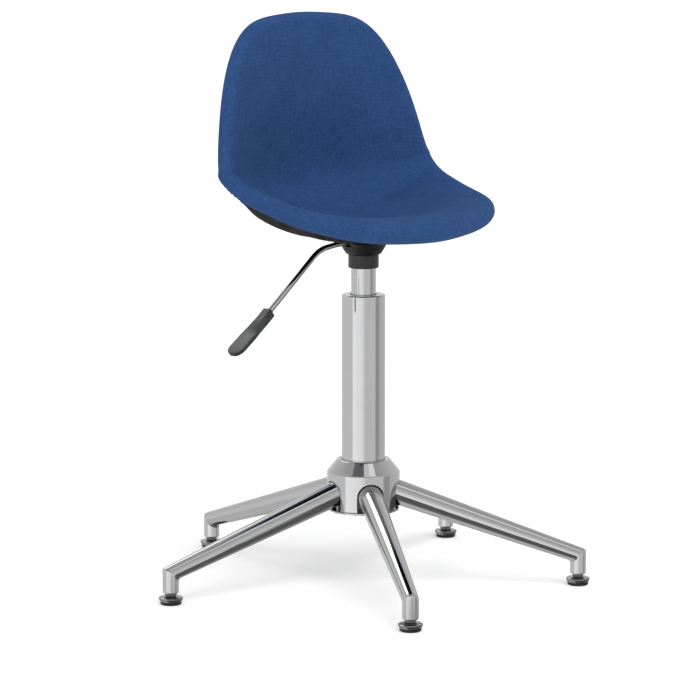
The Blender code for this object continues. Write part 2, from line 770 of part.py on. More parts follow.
def grip_mesh():
    """Square socket that flattens into a paddle with a round end. The paddle bends a little upwards."""
    segments = 16
    start = Vector((LEVER_PATH[-1][0], 0, LEVER_PATH[-1][1]))
    bend = Vector((LEVER_PATH[-2][0], 0, LEVER_PATH[-2][1]))
    along = (start - bend).normalized()
    side = Vector((0, 1, 0))
    up = along.cross(side)

    def section(distance, width, depth, power):
        ring = []
        offset = -GRIP_LIFT * max(0, distance - 0.018) / (GRIP_LENGTH - 0.018)
        for k in range(segments):
            t = 2 * math.pi * (k + 0.5) / segments
            c = math.copysign(abs(math.cos(t)) ** (2 / power), math.cos(t))
            s = math.copysign(abs(math.sin(t)) ** (2 / power), math.sin(t))
            ring.append(start + along * distance + side * (c * width / 2) + up * (s * depth / 2 + offset))
        return ring

    hole = 2 * (LEVER_RADIUS + GAP)
    rings = [section(0.0175, hole, hole, 2), section(0, hole, hole, 2)]
    rings.append(section(0, 0.0112, 0.0112, 8))
    rings.append(section(0.001, 0.0122, 0.0122, 8))
    rings.append(section(0.018, 0.0124, 0.0122, 8))
    rings.append(section(0.027, 0.0165, 0.0098, 6))
    rings.append(section(0.036, 0.0215, 0.0070, 6))
    rings.append(section(0.046, 0.024, 0.0055, 6))
    for t in (0, 30, 55, 75):
        half_round = 0.012 * math.cos(math.radians(t))
        distance = GRIP_LENGTH - 0.012 + 0.012 * math.sin(math.radians(t))
        rings.append(section(distance, 2 * half_round, 0.0052, 6))
    rings.append(section(GRIP_LENGTH, 0.003, 0.003, 2))
    return loft("lever_grip", rings)


def make_feet():
    """Levelling feet: chromed foot with its threaded stud, black pad below and lock nut above."""
    foot = (
        (0, 0.034),
        (0.0034, 0.034),
        (0.004, 0.0334),
        (0.004, 0.0104),
        (0.0082, 0.0100),
        (0.0138, 0.0092),
        (0.0153, 0.0086),
        (0.0155, 0.0078),
        (0.0137, 0.0038),
        (0, 0.0038),
    )
    pad = ((0, 0.0035), (0.0134, 0.0035), (0.0131, 0.0012), (0.0119, 0), (0, 0))
    for i in range(LEG_COUNT):
        angle = leg_angle(i)
        move_out(turned(f"glide_foot_{i + 1}", foot, "chrome", 16), FOOT_CIRCLE, angle)
        move_out(turned(f"glide_pad_{i + 1}", pad, "nylon", 16), FOOT_CIRCLE, angle)
        nut = add_piece(f"lock_nut_{i + 1}", cylinder_mesh("lock_nut", 0.0075, 0.0107, 0.0145, segments=6), "steel")
        hole = add_cutter(f"nut_hole_{i + 1}", cylinder_mesh("nut_hole", 0.0043, 0, 0.03))
        move_out(nut, FOOT_CIRCLE, angle)
        move_out(hole, FOOT_CIRCLE, angle)
        boolean(nut, hole)


clear_scene()
chair = new_collection("swivel_office_chair")
cutters = new_collection("cutters", hidden=True)
column_axis = bpy.data.objects.new("column_axis", None)
column_axis.location = (0, COLUMN_Y, 0)
chair.objects.link(column_axis)

make_hub()
make_base_plate()
make_legs()
make_leg_bolts()
make_column()
make_bearing()
make_piston_rod()
make_gas_cylinder()
make_seat_bracket()
make_seat_fasteners()
make_lever()
make_seat_shell()
make_foam_pad()
make_front_cover()
make_back_cover()
make_under_cover()
make_feet()
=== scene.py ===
# Swivel office chair: the looks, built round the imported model. Metres, +Z up. The seat faces -Y and the
# sitter's right, with the height lever, is -X.
import math

import bmesh
import bpy
import numpy as np
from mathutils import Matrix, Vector


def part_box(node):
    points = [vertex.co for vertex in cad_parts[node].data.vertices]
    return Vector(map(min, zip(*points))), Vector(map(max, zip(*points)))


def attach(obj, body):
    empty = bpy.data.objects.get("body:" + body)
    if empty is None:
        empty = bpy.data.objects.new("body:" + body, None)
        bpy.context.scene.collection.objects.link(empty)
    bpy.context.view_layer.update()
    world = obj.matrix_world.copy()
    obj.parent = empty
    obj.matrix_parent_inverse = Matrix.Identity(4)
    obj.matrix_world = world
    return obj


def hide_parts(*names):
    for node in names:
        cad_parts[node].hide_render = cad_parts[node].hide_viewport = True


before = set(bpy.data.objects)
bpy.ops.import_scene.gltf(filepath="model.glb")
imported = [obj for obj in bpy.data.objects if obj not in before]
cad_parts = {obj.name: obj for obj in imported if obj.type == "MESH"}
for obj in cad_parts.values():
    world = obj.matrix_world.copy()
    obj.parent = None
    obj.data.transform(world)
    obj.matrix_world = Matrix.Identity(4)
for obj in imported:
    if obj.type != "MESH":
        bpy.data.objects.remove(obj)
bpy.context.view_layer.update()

# Every round part of the base and the lift stands on this axis
low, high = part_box("column_tube")
axis = ((low.x + high.x) / 2, (low.y + high.y) / 2)
legCount = 5
footCircle = 0.277
millimetre = 0.001
tiny = 1e-7


# Shader maths


# One output socket, so that sums of sockets read like sums of numbers
class Wire:
    def __init__(self, graph, socket):
        self.graph = graph
        self.socket = socket

    def maths(self, operation, other=0.0, first=None):
        first = self if first is None else first
        return self.graph.add("ShaderNodeMath", {"operation": operation}, {0: first, 1: other})

    def __add__(self, other):
        return self.maths("ADD", other)

    def __sub__(self, other):
        return self.maths("SUBTRACT", other)

    def __rsub__(self, other):
        return self.maths("SUBTRACT", self, other)

    def __mul__(self, other):
        return self.maths("MULTIPLY", other)

    def __truediv__(self, other):
        return self.maths("DIVIDE", other)

    def __abs__(self):
        return self.maths("ABSOLUTE")

    def sine(self):
        return self.maths("SINE")

    def above(self, level):
        return self.maths("GREATER_THAN", level)

    # 0 below start, 1 above end, and smooth between them
    def rise(self, start, end):
        settings = {"interpolation_type": "SMOOTHSTEP"}
        inputs = {"Value": self, "From Min": start, "From Max": end}
        return self.graph.add("ShaderNodeMapRange", settings, inputs)


class Graph:
    def __init__(self, tree):
        self.tree = tree

    # Any node: its type, its settings, the values or links of its sockets, and the output that is used
    def add(self, kind, settings=None, inputs=None, output=0):
        node = self.tree.nodes.new(kind)
        for name, value in (settings or {}).items():
            if name == "stops":
                self.setStops(node.color_ramp.elements, value)
            else:
                setattr(node, name, value)
        for name, value in (inputs or {}).items():
            self.plug(node.inputs[name], value)
        return Wire(self, node.outputs[output])

    def setStops(self, elements, stops):
        while len(elements) < len(stops):
            elements.new(1.0)
        for element, (place, shade) in zip(elements, stops):
            element.position = place
            element.color = (shade, shade, shade, 1)

    def plug(self, socket, value):
        if isinstance(value, Wire):
            self.tree.links.new(value.socket, socket)
        elif socket.type == "RGBA" and len(value) == 3:
            socket.default_value = (*value, 1)
        else:
            socket.default_value = value

    def split(self, vector):
        node = self.add("ShaderNodeSeparateXYZ", None, {0: vector}).socket.node
        return [Wire(self, socket) for socket in node.outputs]

    def vector(self, x, y, z=0.0):
        return self.add("ShaderNodeCombineXYZ", None, {0: x, 1: y, 2: z})

    def mix(self, share, first, second):
        return self.add("ShaderNodeMix", {"data_type": "RGBA"}, {0: share, 6: first, 7: second}, 2)

    # Noise from 0 to 1, with grains of about the given size in metres
    def noise(self, place, size, detail=2.0, roughness=0.5):
        inputs = {"Vector": place, "Scale": 1 / size, "Detail": detail, "Roughness": roughness}
        return self.add("ShaderNodeTexNoise", None, inputs)


# A material's nodes, with the sockets that a finish sets
class Finish(Graph):
    def __init__(self, name, metallic=0.0):
        self.material = bpy.data.materials.new(name)
        self.material.use_nodes = True
        super().__init__(self.material.node_tree)
        self.shader = self.tree.nodes["Principled BSDF"]
        self.place = self.add("ShaderNodeTexCoord", None, None, "Object")
        self.shader.inputs["Metallic"].default_value = metallic

    def set(self, **values):
        for name, value in values.items():
            self.plug(self.shader.inputs[name.replace("_", " ")], value)

    def bump(self, height, distance, strength=1.0):
        inputs = {"Height": height, "Distance": distance, "Strength": strength}
        self.plug(self.shader.inputs["Normal"], self.add("ShaderNodeBump", None, inputs))


fabric = {
    "shade": (0.0182, 0.0480, 0.1370),
    "light": (0.0325, 0.0845, 0.2300),
    "threadPitch": 0.8 * millimetre,
    "slubWidth": 1.5 * millimetre,
    "slubLength": 17 * millimetre,
    "threadRelief": 0.16 * millimetre,
}


# Plain weave on the piece's own flat map in metres: at each crossing the warp or the weft lies on top. Long
# thin noise along both ways makes the slubs of an uneven yarn.
def weaveFinish(name):
    finish = Finish(name)
    flat = finish.add("ShaderNodeTexCoord", None, None, "UV")
    across, along = finish.split(flat)[:2]
    pitch = fabric["threadPitch"]
    sway = (finish.noise(flat, 0.02) - 0.5) * 0.0012
    warpTurn = ((across + sway) * (math.pi / pitch)).sine()
    weftTurn = ((along + sway) * (math.pi / pitch)).sine()
    warpOnTop = (warpTurn * weftTurn).above(0)
    warp = abs(warpTurn) * (abs(weftTurn) * 0.4 + 0.6)
    weft = abs(weftTurn) * (abs(warpTurn) * 0.4 + 0.6)
    height = warp * warpOnTop + weft * (1 - warpOnTop)
    thin = 1 / fabric["slubWidth"]
    long = 1 / fabric["slubLength"]
    upright = finish.noise(finish.vector(across * thin, along * long), 1.0, 1.5)
    level = finish.noise(finish.vector(across * long, along * thin, 7.0), 1.0, 1.5)
    patch = finish.noise(flat, 0.05, 3.0)
    mottle = finish.noise(flat, 0.0035, 2.0)
    # the weave's height also lightens the crowns of the threads: painted shade in the gaps between them, added
    # to the yarn's own uneven tone
    yarnToneAndGapShade = (upright + level) * 0.85 + mottle * 0.45 + patch * 0.35 + height * 0.14 - 0.81
    finish.set(
        Base_Color=finish.mix(yarnToneAndGapShade.rise(0.0, 1.0), fabric["shade"], fabric["light"]),
        Roughness=0.92 - height * 0.1,
        Sheen_Weight=0.08,
        Sheen_Roughness=0.4,
        Sheen_Tint=(0.30, 0.52, 1.0),
        Specular_IOR_Level=0.06,
    )
    finish.bump(height + (upright + level) * 0.7, fabric["threadRelief"], 0.6)
    return finish.material


chrome = {"roughness": 0.045, "smudge": 0.05}


# Polished plating: faint wiped smudges and fine polishing lines, mostly in how sharp the reflection is
def chromeFinish(name, shade):
    finish = Finish(name, 1.0)
    x, y, z = finish.split(finish.place)
    smudge = finish.noise(finish.place, 0.035, 4.0, 0.6).rise(0.45, 0.75)
    lines = finish.noise(finish.vector(x * 900, y * 900, z * 60), 1.0, 2.0)
    clean = (shade, shade, shade * 1.01)
    wiped = (shade * 0.95, shade * 0.96, shade * 0.98)
    finish.set(
        Base_Color=finish.mix(smudge * 0.5, clean, wiped),
        Roughness=smudge * chrome["smudge"] + lines * 0.02 + chrome["roughness"],
    )
    return finish.material


# Moulded plastic: a fine spark-eroded grain, slightly polished and lighter in soft patches of wear spread
# through noise
def plasticFinish(name, dark, light, roughness, shine):
    finish = Finish(name)
    texture = finish.noise(finish.place, 0.35 * millimetre, 2.0)
    rubbed = finish.noise(finish.place, 0.018, 4.0, 0.65).rise(0.42, 0.72)
    finish.set(
        Base_Color=finish.mix(rubbed, dark, light),
        Roughness=roughness - rubbed * 0.1 + texture * 0.08,
        Specular_IOR_Level=shine,
    )
    finish.bump(texture, 0.05 * millimetre, 0.35)
    return finish.material


# Turned or pressed steel with zinc: fine rings from the tool and cloudy plating
def steelFinish(name, shade, roughness):
    finish = Finish(name, 1.0)
    x, y, z = finish.split(finish.place)
    rings = finish.noise(finish.vector(x * 120, y * 120, z * 2600), 1.0, 2.0)
    cloud = finish.noise(finish.place, 0.006, 3.0)
    finish.set(
        Base_Color=finish.mix(cloud, [shade * 0.86] * 3, [shade, shade * 1.01, shade * 1.03]),
        Roughness=cloud * 0.12 + rings * 0.1 + roughness,
    )
    finish.bump(rings, 0.03 * millimetre, 0.3)
    return finish.material


# Open-cell foam: a web of pores under a light skin
def foamFinish():
    finish = Finish("seatFoam")
    pores = finish.add("ShaderNodeTexVoronoi", None, {"Vector": finish.place, "Scale": 700.0}, "Distance")
    cloud = finish.noise(finish.place, 0.03, 3.0)
    # the pores are darker than the web between them: painted shade inside each pore
    colour = finish.mix(pores * 0.7 + cloud * 0.3, (0.52, 0.47, 0.33), (0.80, 0.76, 0.62))
    finish.set(Base_Color=colour, Roughness=0.95)
    finish.bump(pores, 0.4 * millimetre, 0.7)
    return finish.material


# Name, dark and light shade, roughness, shine
plastics = {
    "thread": ("blueThread", (0.016, 0.042, 0.120), (0.026, 0.066, 0.180), 0.75, 0.45),
    "bracket": ("blackMouldedBracket", (0.005, 0.005, 0.005), (0.010, 0.010, 0.010), 0.46, 0.45),
    "collar": ("blackMouldedCollar", (0.019, 0.020, 0.021), (0.031, 0.032, 0.033), 0.4, 0.45),
    "grip": ("blackMouldedGrip", (0.018, 0.020, 0.020), (0.038, 0.041, 0.041), 0.34, 0.45),
    "underCover": ("blackMouldedCover", (0.0015, 0.0015, 0.0015), (0.003, 0.003, 0.003), 0.5, 0.04),
    "shell": ("greyMouldedShell", (0.045, 0.045, 0.048), (0.065, 0.065, 0.070), 0.55, 0.45),
    "rubber": ("blackRubberPad", (0.010, 0.010, 0.010), (0.026, 0.026, 0.027), 0.7, 0.45),
    "nylon": ("darkNylon", (0.025, 0.025, 0.027), (0.045, 0.045, 0.048), 0.42, 0.45),
}
finishes = {
    "cover": weaveFinish("blueLinenWeave"),
    "chrome": chromeFinish("polishedChrome", 0.50),
    # the feet get darker plating than the rest: painted shade and painted dark reflections at the feet, near
    # the floor
    "footChromePaintedShade": chromeFinish("footChromePaintedShade", 0.27),
    "steel": steelFinish("zincPlatedSteel", 0.52, 0.28),
    # the lock nuts' steel is much darker than the other steel: painted shade in the narrow gap between each
    # post and its foot
    "nutSteelPaintedShade": steelFinish("nutSteelWithPaintedShade", 0.20, 0.3),
    "foam": foamFinish(),
}
finishes.update({name: plasticFinish(*values) for name, values in plastics.items()})
print("finishes made", flush=True)


# Shapes


def unit(vectors):
    return vectors / np.linalg.norm(vectors, axis=-1, keepdims=True)


# Squares between neighbouring points of a grid, numbered row by row
def gridFaces(rows, columns, closeRows, closeColumns):
    row = np.arange(rows if closeRows else rows - 1)[:, None]
    column = np.arange(columns if closeColumns else columns - 1)[None, :]
    nextColumn = (column + 1) % columns
    first = row * columns
    second = (row + 1) % rows * columns
    corners = (first + column, first + nextColumn, second + nextColumn, second + column)
    return np.stack(np.broadcast_arrays(*corners), axis=-1).reshape(-1, 4)


# Joins several (points, faces) solids into one pair of lists
def joinSolids(solids):
    starts = np.cumsum([0] + [len(points) for points, faces in solids])[:-1]
    points = np.concatenate([points for points, faces in solids])
    return points, np.concatenate([faces + start for start, (own, faces) in zip(starts, solids)])


# A grid of points as (points, faces)
def gridSolid(grid, closeRows=False, closeColumns=True):
    rows, columns = grid.shape[:2]
    return grid.reshape(-1, 3), gridFaces(rows, columns, closeRows, closeColumns)


def makeMesh(name, points, faces, flat=None, sharp=38):
    mesh = bpy.data.meshes.new(name)
    faces = np.asarray(faces)
    mesh.from_pydata(np.asarray(points).tolist(), [], faces.tolist())
    if flat is not None:
        layer = mesh.uv_layers.new(name="flat")
        corners = flat.reshape(-1, 2)[faces.reshape(-1)]
        layer.uv.foreach_set("vector", corners.astype(np.float32).reshape(-1))
    shape = bmesh.new()
    shape.from_mesh(mesh)
    bmesh.ops.remove_doubles(shape, verts=shape.verts, dist=1e-6)
    bmesh.ops.recalc_face_normals(shape, faces=shape.faces)
    if shape.calc_volume(signed=True) < 0:
        bmesh.ops.reverse_faces(shape, faces=shape.faces)
    shape.to_mesh(mesh)
    shape.free()
    mesh.shade_smooth()
    mesh.set_sharp_from_angle(angle=math.radians(sharp))
    return mesh


def placeInScene(name, data):
    item = bpy.data.objects.new(name, data)
    bpy.context.scene.collection.objects.link(item)
    return item


# Puts a finished mesh in the scene, on its body and in the place of its CAD node
def addPiece(name, mesh, finish, body, node, replaces=True):
    piece = placeInScene(name, mesh)
    mesh.materials.clear()
    mesh.materials.append(finishes[finish])
    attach(piece, body)
    if replaces:
        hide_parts(node)
    return piece


# Cuts one mesh with others and keeps the result as plain mesh
def cutMesh(mesh, cutters, sharp=38):
    whole = placeInScene("whole", mesh)
    helpers = [placeInScene("cutter", cutter) for cutter in cutters]
    for helper in helpers:
        modifier = whole.modifiers.new("cut", "BOOLEAN")
        modifier.solver = "EXACT"
        modifier.object = helper
    graph = bpy.context.evaluated_depsgraph_get()
    result = bpy.data.meshes.new_from_object(whole.evaluated_get(graph))
    for helper in (whole, *helpers):
        bpy.data.objects.remove(helper)
    result.shade_smooth()
    result.set_sharp_from_angle(angle=math.radians(sharp))
    return result


# Rounds the corners of a line, or of a sheaf of lines: each corner becomes the quadratic curve between the
# points a reach before and after it, with one more point beyond each end so that the flats shade flat
def roundCorners(corners, reach, steps=5, closed=False):
    corners = np.asarray(corners, float)
    if closed:
        before, middle, after = np.roll(corners, 1, 0), corners, np.roll(corners, -1, 0)
    else:
        before, middle, after = corners[:-2], corners[1:-1], corners[2:]
    back = before - middle
    ahead = after - middle
    backLength = np.linalg.norm(back, axis=-1, keepdims=True)
    aheadLength = np.linalg.norm(ahead, axis=-1, keepdims=True)
    if np.ndim(reach):
        reach = np.reshape(reach, (-1,) + (1,) * (corners.ndim - 1))
    cut = np.minimum(reach, 0.38 * np.minimum(backLength, aheadLength))
    start = (middle + back / backLength * cut)[:, None]
    end = (middle + ahead / aheadLength * cut)[:, None]
    step = np.linspace(0, 1, steps).reshape((steps,) + (1,) * (corners.ndim - 1))
    curve = start * (1 - step) ** 2 + middle[:, None] * 2 * step * (1 - step) + end * step**2
    guardBack = (middle + back / backLength * cut * 1.25)[:, None]
    guardAhead = (middle + ahead / aheadLength * cut * 1.25)[:, None]
    line = np.concatenate([guardBack, curve, guardAhead], axis=1).reshape((-1,) + corners.shape[1:])
    return line if closed else np.concatenate([corners[:1], line, corners[-1:]])


def wholeTurn(segments):
    return np.linspace(0, 2 * np.pi, segments, endpoint=False)


# Rings round an upright line: a radius for each ring and angle, and a height for each ring
def ringGrid(radius, height, place, turn):
    x = place[0] + radius * np.cos(turn)
    y = place[1] + radius * np.sin(turn)
    return np.stack([x, y, height + 0 * turn], axis=-1)


# Closes both ends of a stack of rings, each on its middle
def capRings(rings):
    ends = [np.broadcast_to(ring.mean(0), ring.shape) for ring in (rings[0], rings[-1])]
    return np.stack([ends[0], *rings, ends[1]])


# A profile of (radius, height) points carried round an upright line
def turnedGrid(profile, place=axis, segments=96):
    profile = np.asarray(profile, float)
    return ringGrid(profile[:, :1], profile[:, 1:], place, wholeTurn(segments))


# Half the distance across a hexagon's flats, as a radius at each angle
def hexRadius(half, turn):
    return half / np.cos((turn + np.pi / 6) % (np.pi / 3) - np.pi / 6)


# A turned solid. A profile that starts off the axis is the closed section of a ring.
def turnedMesh(name, corners, reach, place=axis, segments=96, steps=5):
    ring = corners[0][0] > 0
    grid = turnedGrid(roundCorners(corners, reach, steps, ring), place, segments)
    return makeMesh(name, *gridSolid(grid, closeRows=ring))


# Points given along, across and above a leg, turned to that leg's place round the column
def toLeg(points, number):
    angle = math.radians(90 + 360 / legCount * number)
    x, y, z = np.moveaxis(np.asarray(points, float), -1, 0)
    turnedX = axis[0] + x * math.cos(angle) - y * math.sin(angle)
    turnedY = axis[1] + x * math.sin(angle) + y * math.cos(angle)
    return np.stack([turnedX, turnedY, z], axis=-1)


# Base

hub = {
    "radius": 0.047,
    "bore": 0.0282,
    "bottom": 0.0955,
    "shoulder": 0.1425,
    "top": 0.1588,
    "socket": 0.0168,
    "socketRings": ((0.0163, 0), (0.0010, 0), (0.0004, 0.0002), (-0.0001, 0.0009), (-0.02, 0.0009)),
    "reach": (0.0004, 0.0011, 0.0014, 0.0010, 0.0004),
    "step": 0.0022,
    "segments": 200,
}
leg = {
    "slope": math.radians(18.3),
    "rootHeight": 0.1147,
    "rootRadius": 0.0160,
    "innerEnd": 0.0312,
    "postRadius": 0.0103,
    "postBottom": 0.0148,
    "bore": 0.0043,
    "boreEnd": 0.0360,
    "taper": 0.02,
    "elbow": 0.003,
    "segments": 72,
}


def legHeight(distance):
    return leg["rootHeight"] - (distance - hub["radius"]) * math.tan(leg["slope"])


# The hub's outline is filled in with even steps before it is turned, so that cutting it leaves small faces
def makeHub():
    radius = hub["radius"]
    corners = [
        (hub["bore"], hub["top"]),
        (0.0338, hub["top"]),
        (radius, hub["shoulder"]),
        (radius, hub["bottom"]),
        (hub["bore"], hub["bottom"]),
    ]
    line = roundCorners(corners, hub["reach"], 6, closed=True)
    gaps = np.linalg.norm(np.roll(line, -1, 0) - line, axis=1)
    at = np.concatenate([[0], np.cumsum(gaps)])
    even = np.unique(np.round(np.concatenate([at, np.arange(0, at[-1], hub["step"])]), 6))[:-1]
    line = np.stack([np.interp(even, at, np.append(line[:, k], line[0, k])) for k in (0, 1)], axis=1)
    grid = turnedGrid(line, segments=hub["segments"])
    body = makeMesh("hub", *gridSolid(grid, closeRows=True))
    mesh = cutMesh(body, [socketMesh(i) for i in range(legCount)], 30)
    addPiece("hubChrome", mesh, "chrome", "base", "hub")


# An arch along the leg's axis, open downwards. Its rings follow the hub's round face, and they widen just
# below the face, which gives the arch a soft edge.
def socketMesh(i):
    arch = np.linspace(0, np.pi, 33)
    wide = np.concatenate([[1], np.cos(arch), [-1]]) * hub["socket"]
    tall = np.concatenate([[-3], np.sin(arch), [-3]]) * hub["socket"]
    rings = []
    for depth, widening in hub["socketRings"]:
        scale = 1 + widening / hub["socket"]
        face = np.sqrt((hub["radius"] - depth) ** 2 - (wide * scale) ** 2)
        face = face if depth < hub["radius"] / 4 else np.full_like(face, leg["innerEnd"] - 0.0012)
        height = legHeight(face) + tall * scale / math.cos(leg["slope"])
        rings.append(np.stack([face, wide * scale, height], axis=-1))
    return makeMesh("socket", *gridSolid(toLeg(capRings(rings), i)))


# The leg is a sheaf of straight lines from the hub out to the mitre and down the post. Each line's corners
# are rounded, which rounds the mitre.
def legGrid():
    turn = wholeTurn(leg["segments"])
    slope = leg["slope"]

    def across(distance, size, upright=False):
        up = np.array([0, 0, 1 / math.cos(slope)] if upright else [math.sin(slope), 0, math.cos(slope)])
        centre = np.array([distance, 0, legHeight(distance)])
        return centre + size * (np.cos(turn)[:, None] * up + np.sin(turn)[:, None] * np.array([0, -1, 0]))

    def level(height, size):
        x = footCircle + size * np.cos(turn)
        return np.stack([x, -size * np.sin(turn), height + 0 * turn], axis=-1)

    rootSize = leg["rootRadius"] + (hub["radius"] - leg["innerEnd"]) * leg["taper"]
    post = leg["postRadius"]
    tilt = (math.pi / 2 - slope) / 2 + slope
    elbow = level(legHeight(footCircle), post)
    elbow[:, 2] += (elbow[:, 0] - footCircle) * math.tan(math.pi / 2 - tilt)
    inner = across(leg["innerEnd"], rootSize, True)
    rings = [
        np.broadcast_to(inner.mean(0), inner.shape),
        inner,
        across(hub["radius"], leg["rootRadius"]),
        elbow,
        level(leg["postBottom"], post),
        level(leg["postBottom"], leg["bore"]),
        level(leg["boreEnd"], leg["bore"]),
        level(leg["boreEnd"], tiny),
    ]
    return roundCorners(np.stack(rings), [0.001, 0.01, leg["elbow"], 0.0009, 0.0004, 0.0004], 7)


def makeLegs():
    grid = legGrid()
    for i in range(legCount):
        mesh = makeMesh(f"leg{i + 1}", *gridSolid(toLeg(grid, i)))
        addPiece(f"leg{i + 1}Chrome", mesh, "chrome", "base", f"leg_{i + 1}")


# Turned profiles as (radius, height), from the axis outwards and down again
foot = {
    "stud": ((0, 0.034), (0.004, 0.034), (0.004, 0.0106)),
    "coneTop": ((0.0092, 0.0101), (0.0140, 0.0094), (0.0155, 0.0084)),
    "coneBottom": ((0.0150, 0.0066), (0.0137, 0.0038), (0, 0.0038)),
    "padTop": ((0, 0.0035), (0.0134, 0.0035), (0.0131, 0.0010)),
    "padBottom": ((0.0119, 0), (0.0086, 0), (0.0080, 0.0006), (0, 0.0006)),
    "segments": 64,
}
nut = {"flats": 0.0130, "cone": 0.0075, "bore": 0.0043, "low": 0.0107, "high": 0.0145}
nut["chamfer"] = (0.0012, 0.0008, 0.0004, 0.0)


# A hexagon turned with a chamfer: at each angle the radius is the smaller of the flats' and the cone's
def hexNutGrid(low, high, place):
    turn = wholeTurn(96)
    inset = np.array(nut["chamfer"])
    heights = np.concatenate([low + inset[0] / 2 - inset / 2, high - inset[0] / 2 + inset[::-1] / 2])
    cone = nut["cone"] - np.concatenate([inset, inset[::-1]])
    outer = np.minimum(hexRadius(nut["flats"] / 2, turn), cone[:, None])
    mouth = np.full((1, len(turn)), nut["bore"])
    height = np.concatenate([heights[:1], heights, heights[-1:]])[:, None]
    return ringGrid(np.concatenate([mouth, outer, mouth]), height, place, turn)


def makeFeet():
    for i in range(legCount):
        place = toLeg((footCircle, 0, 0), i)[:2]
        body = f"glide_{i + 1}"
        metal = foot["stud"] + foot["coneTop"] + foot["coneBottom"]
        mesh = turnedMesh(f"foot{i + 1}", metal, 0.0009, place, foot["segments"])
        addPiece(f"foot{i + 1}Chrome", mesh, "footChromePaintedShade", body, f"glide_foot_{i + 1}")
        mesh = turnedMesh(f"pad{i + 1}", foot["padTop"] + foot["padBottom"], 0.0006, place, foot["segments"])
        addPiece(f"foot{i + 1}Pad", mesh, "rubber", body, f"glide_pad_{i + 1}")
        grid = hexNutGrid(nut["low"], nut["high"], place)
        mesh = makeMesh(f"nut{i + 1}", *gridSolid(grid, closeRows=True), sharp=25)
        addPiece(f"foot{i + 1}Nut", mesh, "nutSteelPaintedShade", "base", f"lock_nut_{i + 1}")


plate = {"profile": ((0.02, 0.0952), (0.0464, 0.0952), (0.0464, 0.0928), (0.0215, 0.0928), (0.02, 0.0936))}
screw = {
    "circle": 0.0375,
    "shank": ((0, 0.115), (0.0021, 0.115), (0.0021, 0.0925)),
    "head": ((0.0042, 0.0925), (0.0042, 0.0905), (0.0027, 0.0905)),
    "key": 0.0019,
    "keyHeights": ((0.0910,), (0.0921,), (0.0921,)),
}


# A round plate under the hub, and screws whose recess narrows from a round mouth to a six-sided key
def makeBasePlate():
    mesh = turnedMesh("basePlate", plate["profile"], 0.0007, segments=160)
    addPiece("basePlate", mesh, "chrome", "base", "base_plate")
    turn = wholeTurn(48)
    key = hexRadius(screw["key"], turn)
    line = roundCorners(screw["shank"] + screw["head"], 0.0004, 4)
    radius = np.concatenate([line[:, :1] + 0 * turn, [key, key, key * 0]])
    height = np.concatenate([line[:, 1:], screw["keyHeights"]])
    for i in range(legCount):
        grid = ringGrid(radius, height, toLeg((screw["circle"], 0, 0), i)[:2], turn)
        mesh = makeMesh(f"legScrew{i + 1}", *gridSolid(grid))
        addPiece(f"leg{i + 1}Screw", mesh, "steel", "base", f"leg_bolt_{i + 1}")


makeHub()
makeLegs()
makeFeet()
makeBasePlate()
print("base made", flush=True)


# Column and lift

column = {"radius": 0.0279, "wall": 0.002, "bottom": 0.0965, "top": 0.372, "mouth": 0.0174, "lip": 0.0016}
column["reach"] = (0.0006, 0.0021, 0.0004, 0.0004, 0.0004, 0.0004)
lift = {"radius": 0.0159, "wall": 0.0018, "hole": 0.010, "bottom": 0.1035, "top": 0.428, "lid": 0.002}
lift["reach"] = (0.0004, 0.0014, 0.0005, 0.0004, 0.0004, 0.0004)
collar = {
    "profile": ((0.0162, 0.4236), (0.0195, 0.4236), (0.0195, 0.4068), (0.0187, 0.406), (0.0162, 0.406)),
    "reach": (0.0003, 0.0009, 0.0006, 0.0003, 0.0003),
}


# A tube under a lid with a hole in it, as a closed section
def tubeProfile(hole, radius, wall, top, bottom, lid):
    outside = [(hole, top), (radius, top), (radius, bottom)]
    return outside + [(radius - wall, bottom), (radius - wall, top - lid), (hole, top - lid)]


def makeColumn():
    corners = tubeProfile(*[column[part] for part in ("mouth", "radius", "wall", "top", "bottom", "lip")])
    mesh = turnedMesh("column", corners, column["reach"], segments=160, steps=9)
    addPiece("columnChrome", mesh, "chrome", "base", "column_tube")


def makeLift():
    corners = tubeProfile(*[lift[part] for part in ("hole", "radius", "wall", "top", "bottom", "lid")])
    mesh = turnedMesh("lift", corners, lift["reach"], segments=128)
    addPiece("liftCylinder", mesh, "chrome", "seat", "gas_cylinder")
    mesh = turnedMesh("collar", collar["profile"], collar["reach"], segments=128)
    addPiece("liftCollar", mesh, "collar", "seat", "collar_ring")


bracket = {
    "inner": ((0.0185, 0.444), (0.0185, 0.4285), (0.0162, 0.4285), (0.0162, 0.424), (0.0222, 0.4240)),
    "flare": ((0.0233, 0.4255), (0.0248, 0.4278), (0.0262, 0.4300), (0.0285, 0.4342), (0.0312, 0.4378)),
    "edge": ((0.0350, 0.4401), (0.0396, 0.4414), (0.0400, 0.4440)),
    "reach": [0.0004] * 4 + [0.0006] + [0.0019] * 7 + [0.0006],
    "slotHalf": 0.0048,
    "slotHeights": (0.4345, 0.4525),
    "slotEnds": (-0.047, -0.013),
}


# The trumpet under the seat: it flares from the lift's neck to a thin round edge. A slot lets the lever in.
def makeBracket():
    corners = bracket["inner"] + bracket["flare"] + bracket["edge"]
    line = roundCorners(corners, bracket["reach"], 6, closed=True)
    body = makeMesh("bracket", *gridSolid(turnedGrid(line, segments=144), closeRows=True))
    half = bracket["slotHalf"]
    low, high = bracket["slotHeights"]
    square = roundCorners([(-half, low), (half, low), (half, high), (-half, high)], 0.0016, 6, closed=True)
    rings = [np.insert(square, 0, x, axis=1) for x in bracket["slotEnds"]]
    slot = makeMesh("slot", *gridSolid(capRings(rings) + np.array([*axis, 0])))
    addPiece("seatBracket", cutMesh(body, [slot], 30), "bracket", "seat", "seat_bracket")


makeColumn()
makeLift()
makeBracket()
print("column and lift made", flush=True)


# Lever

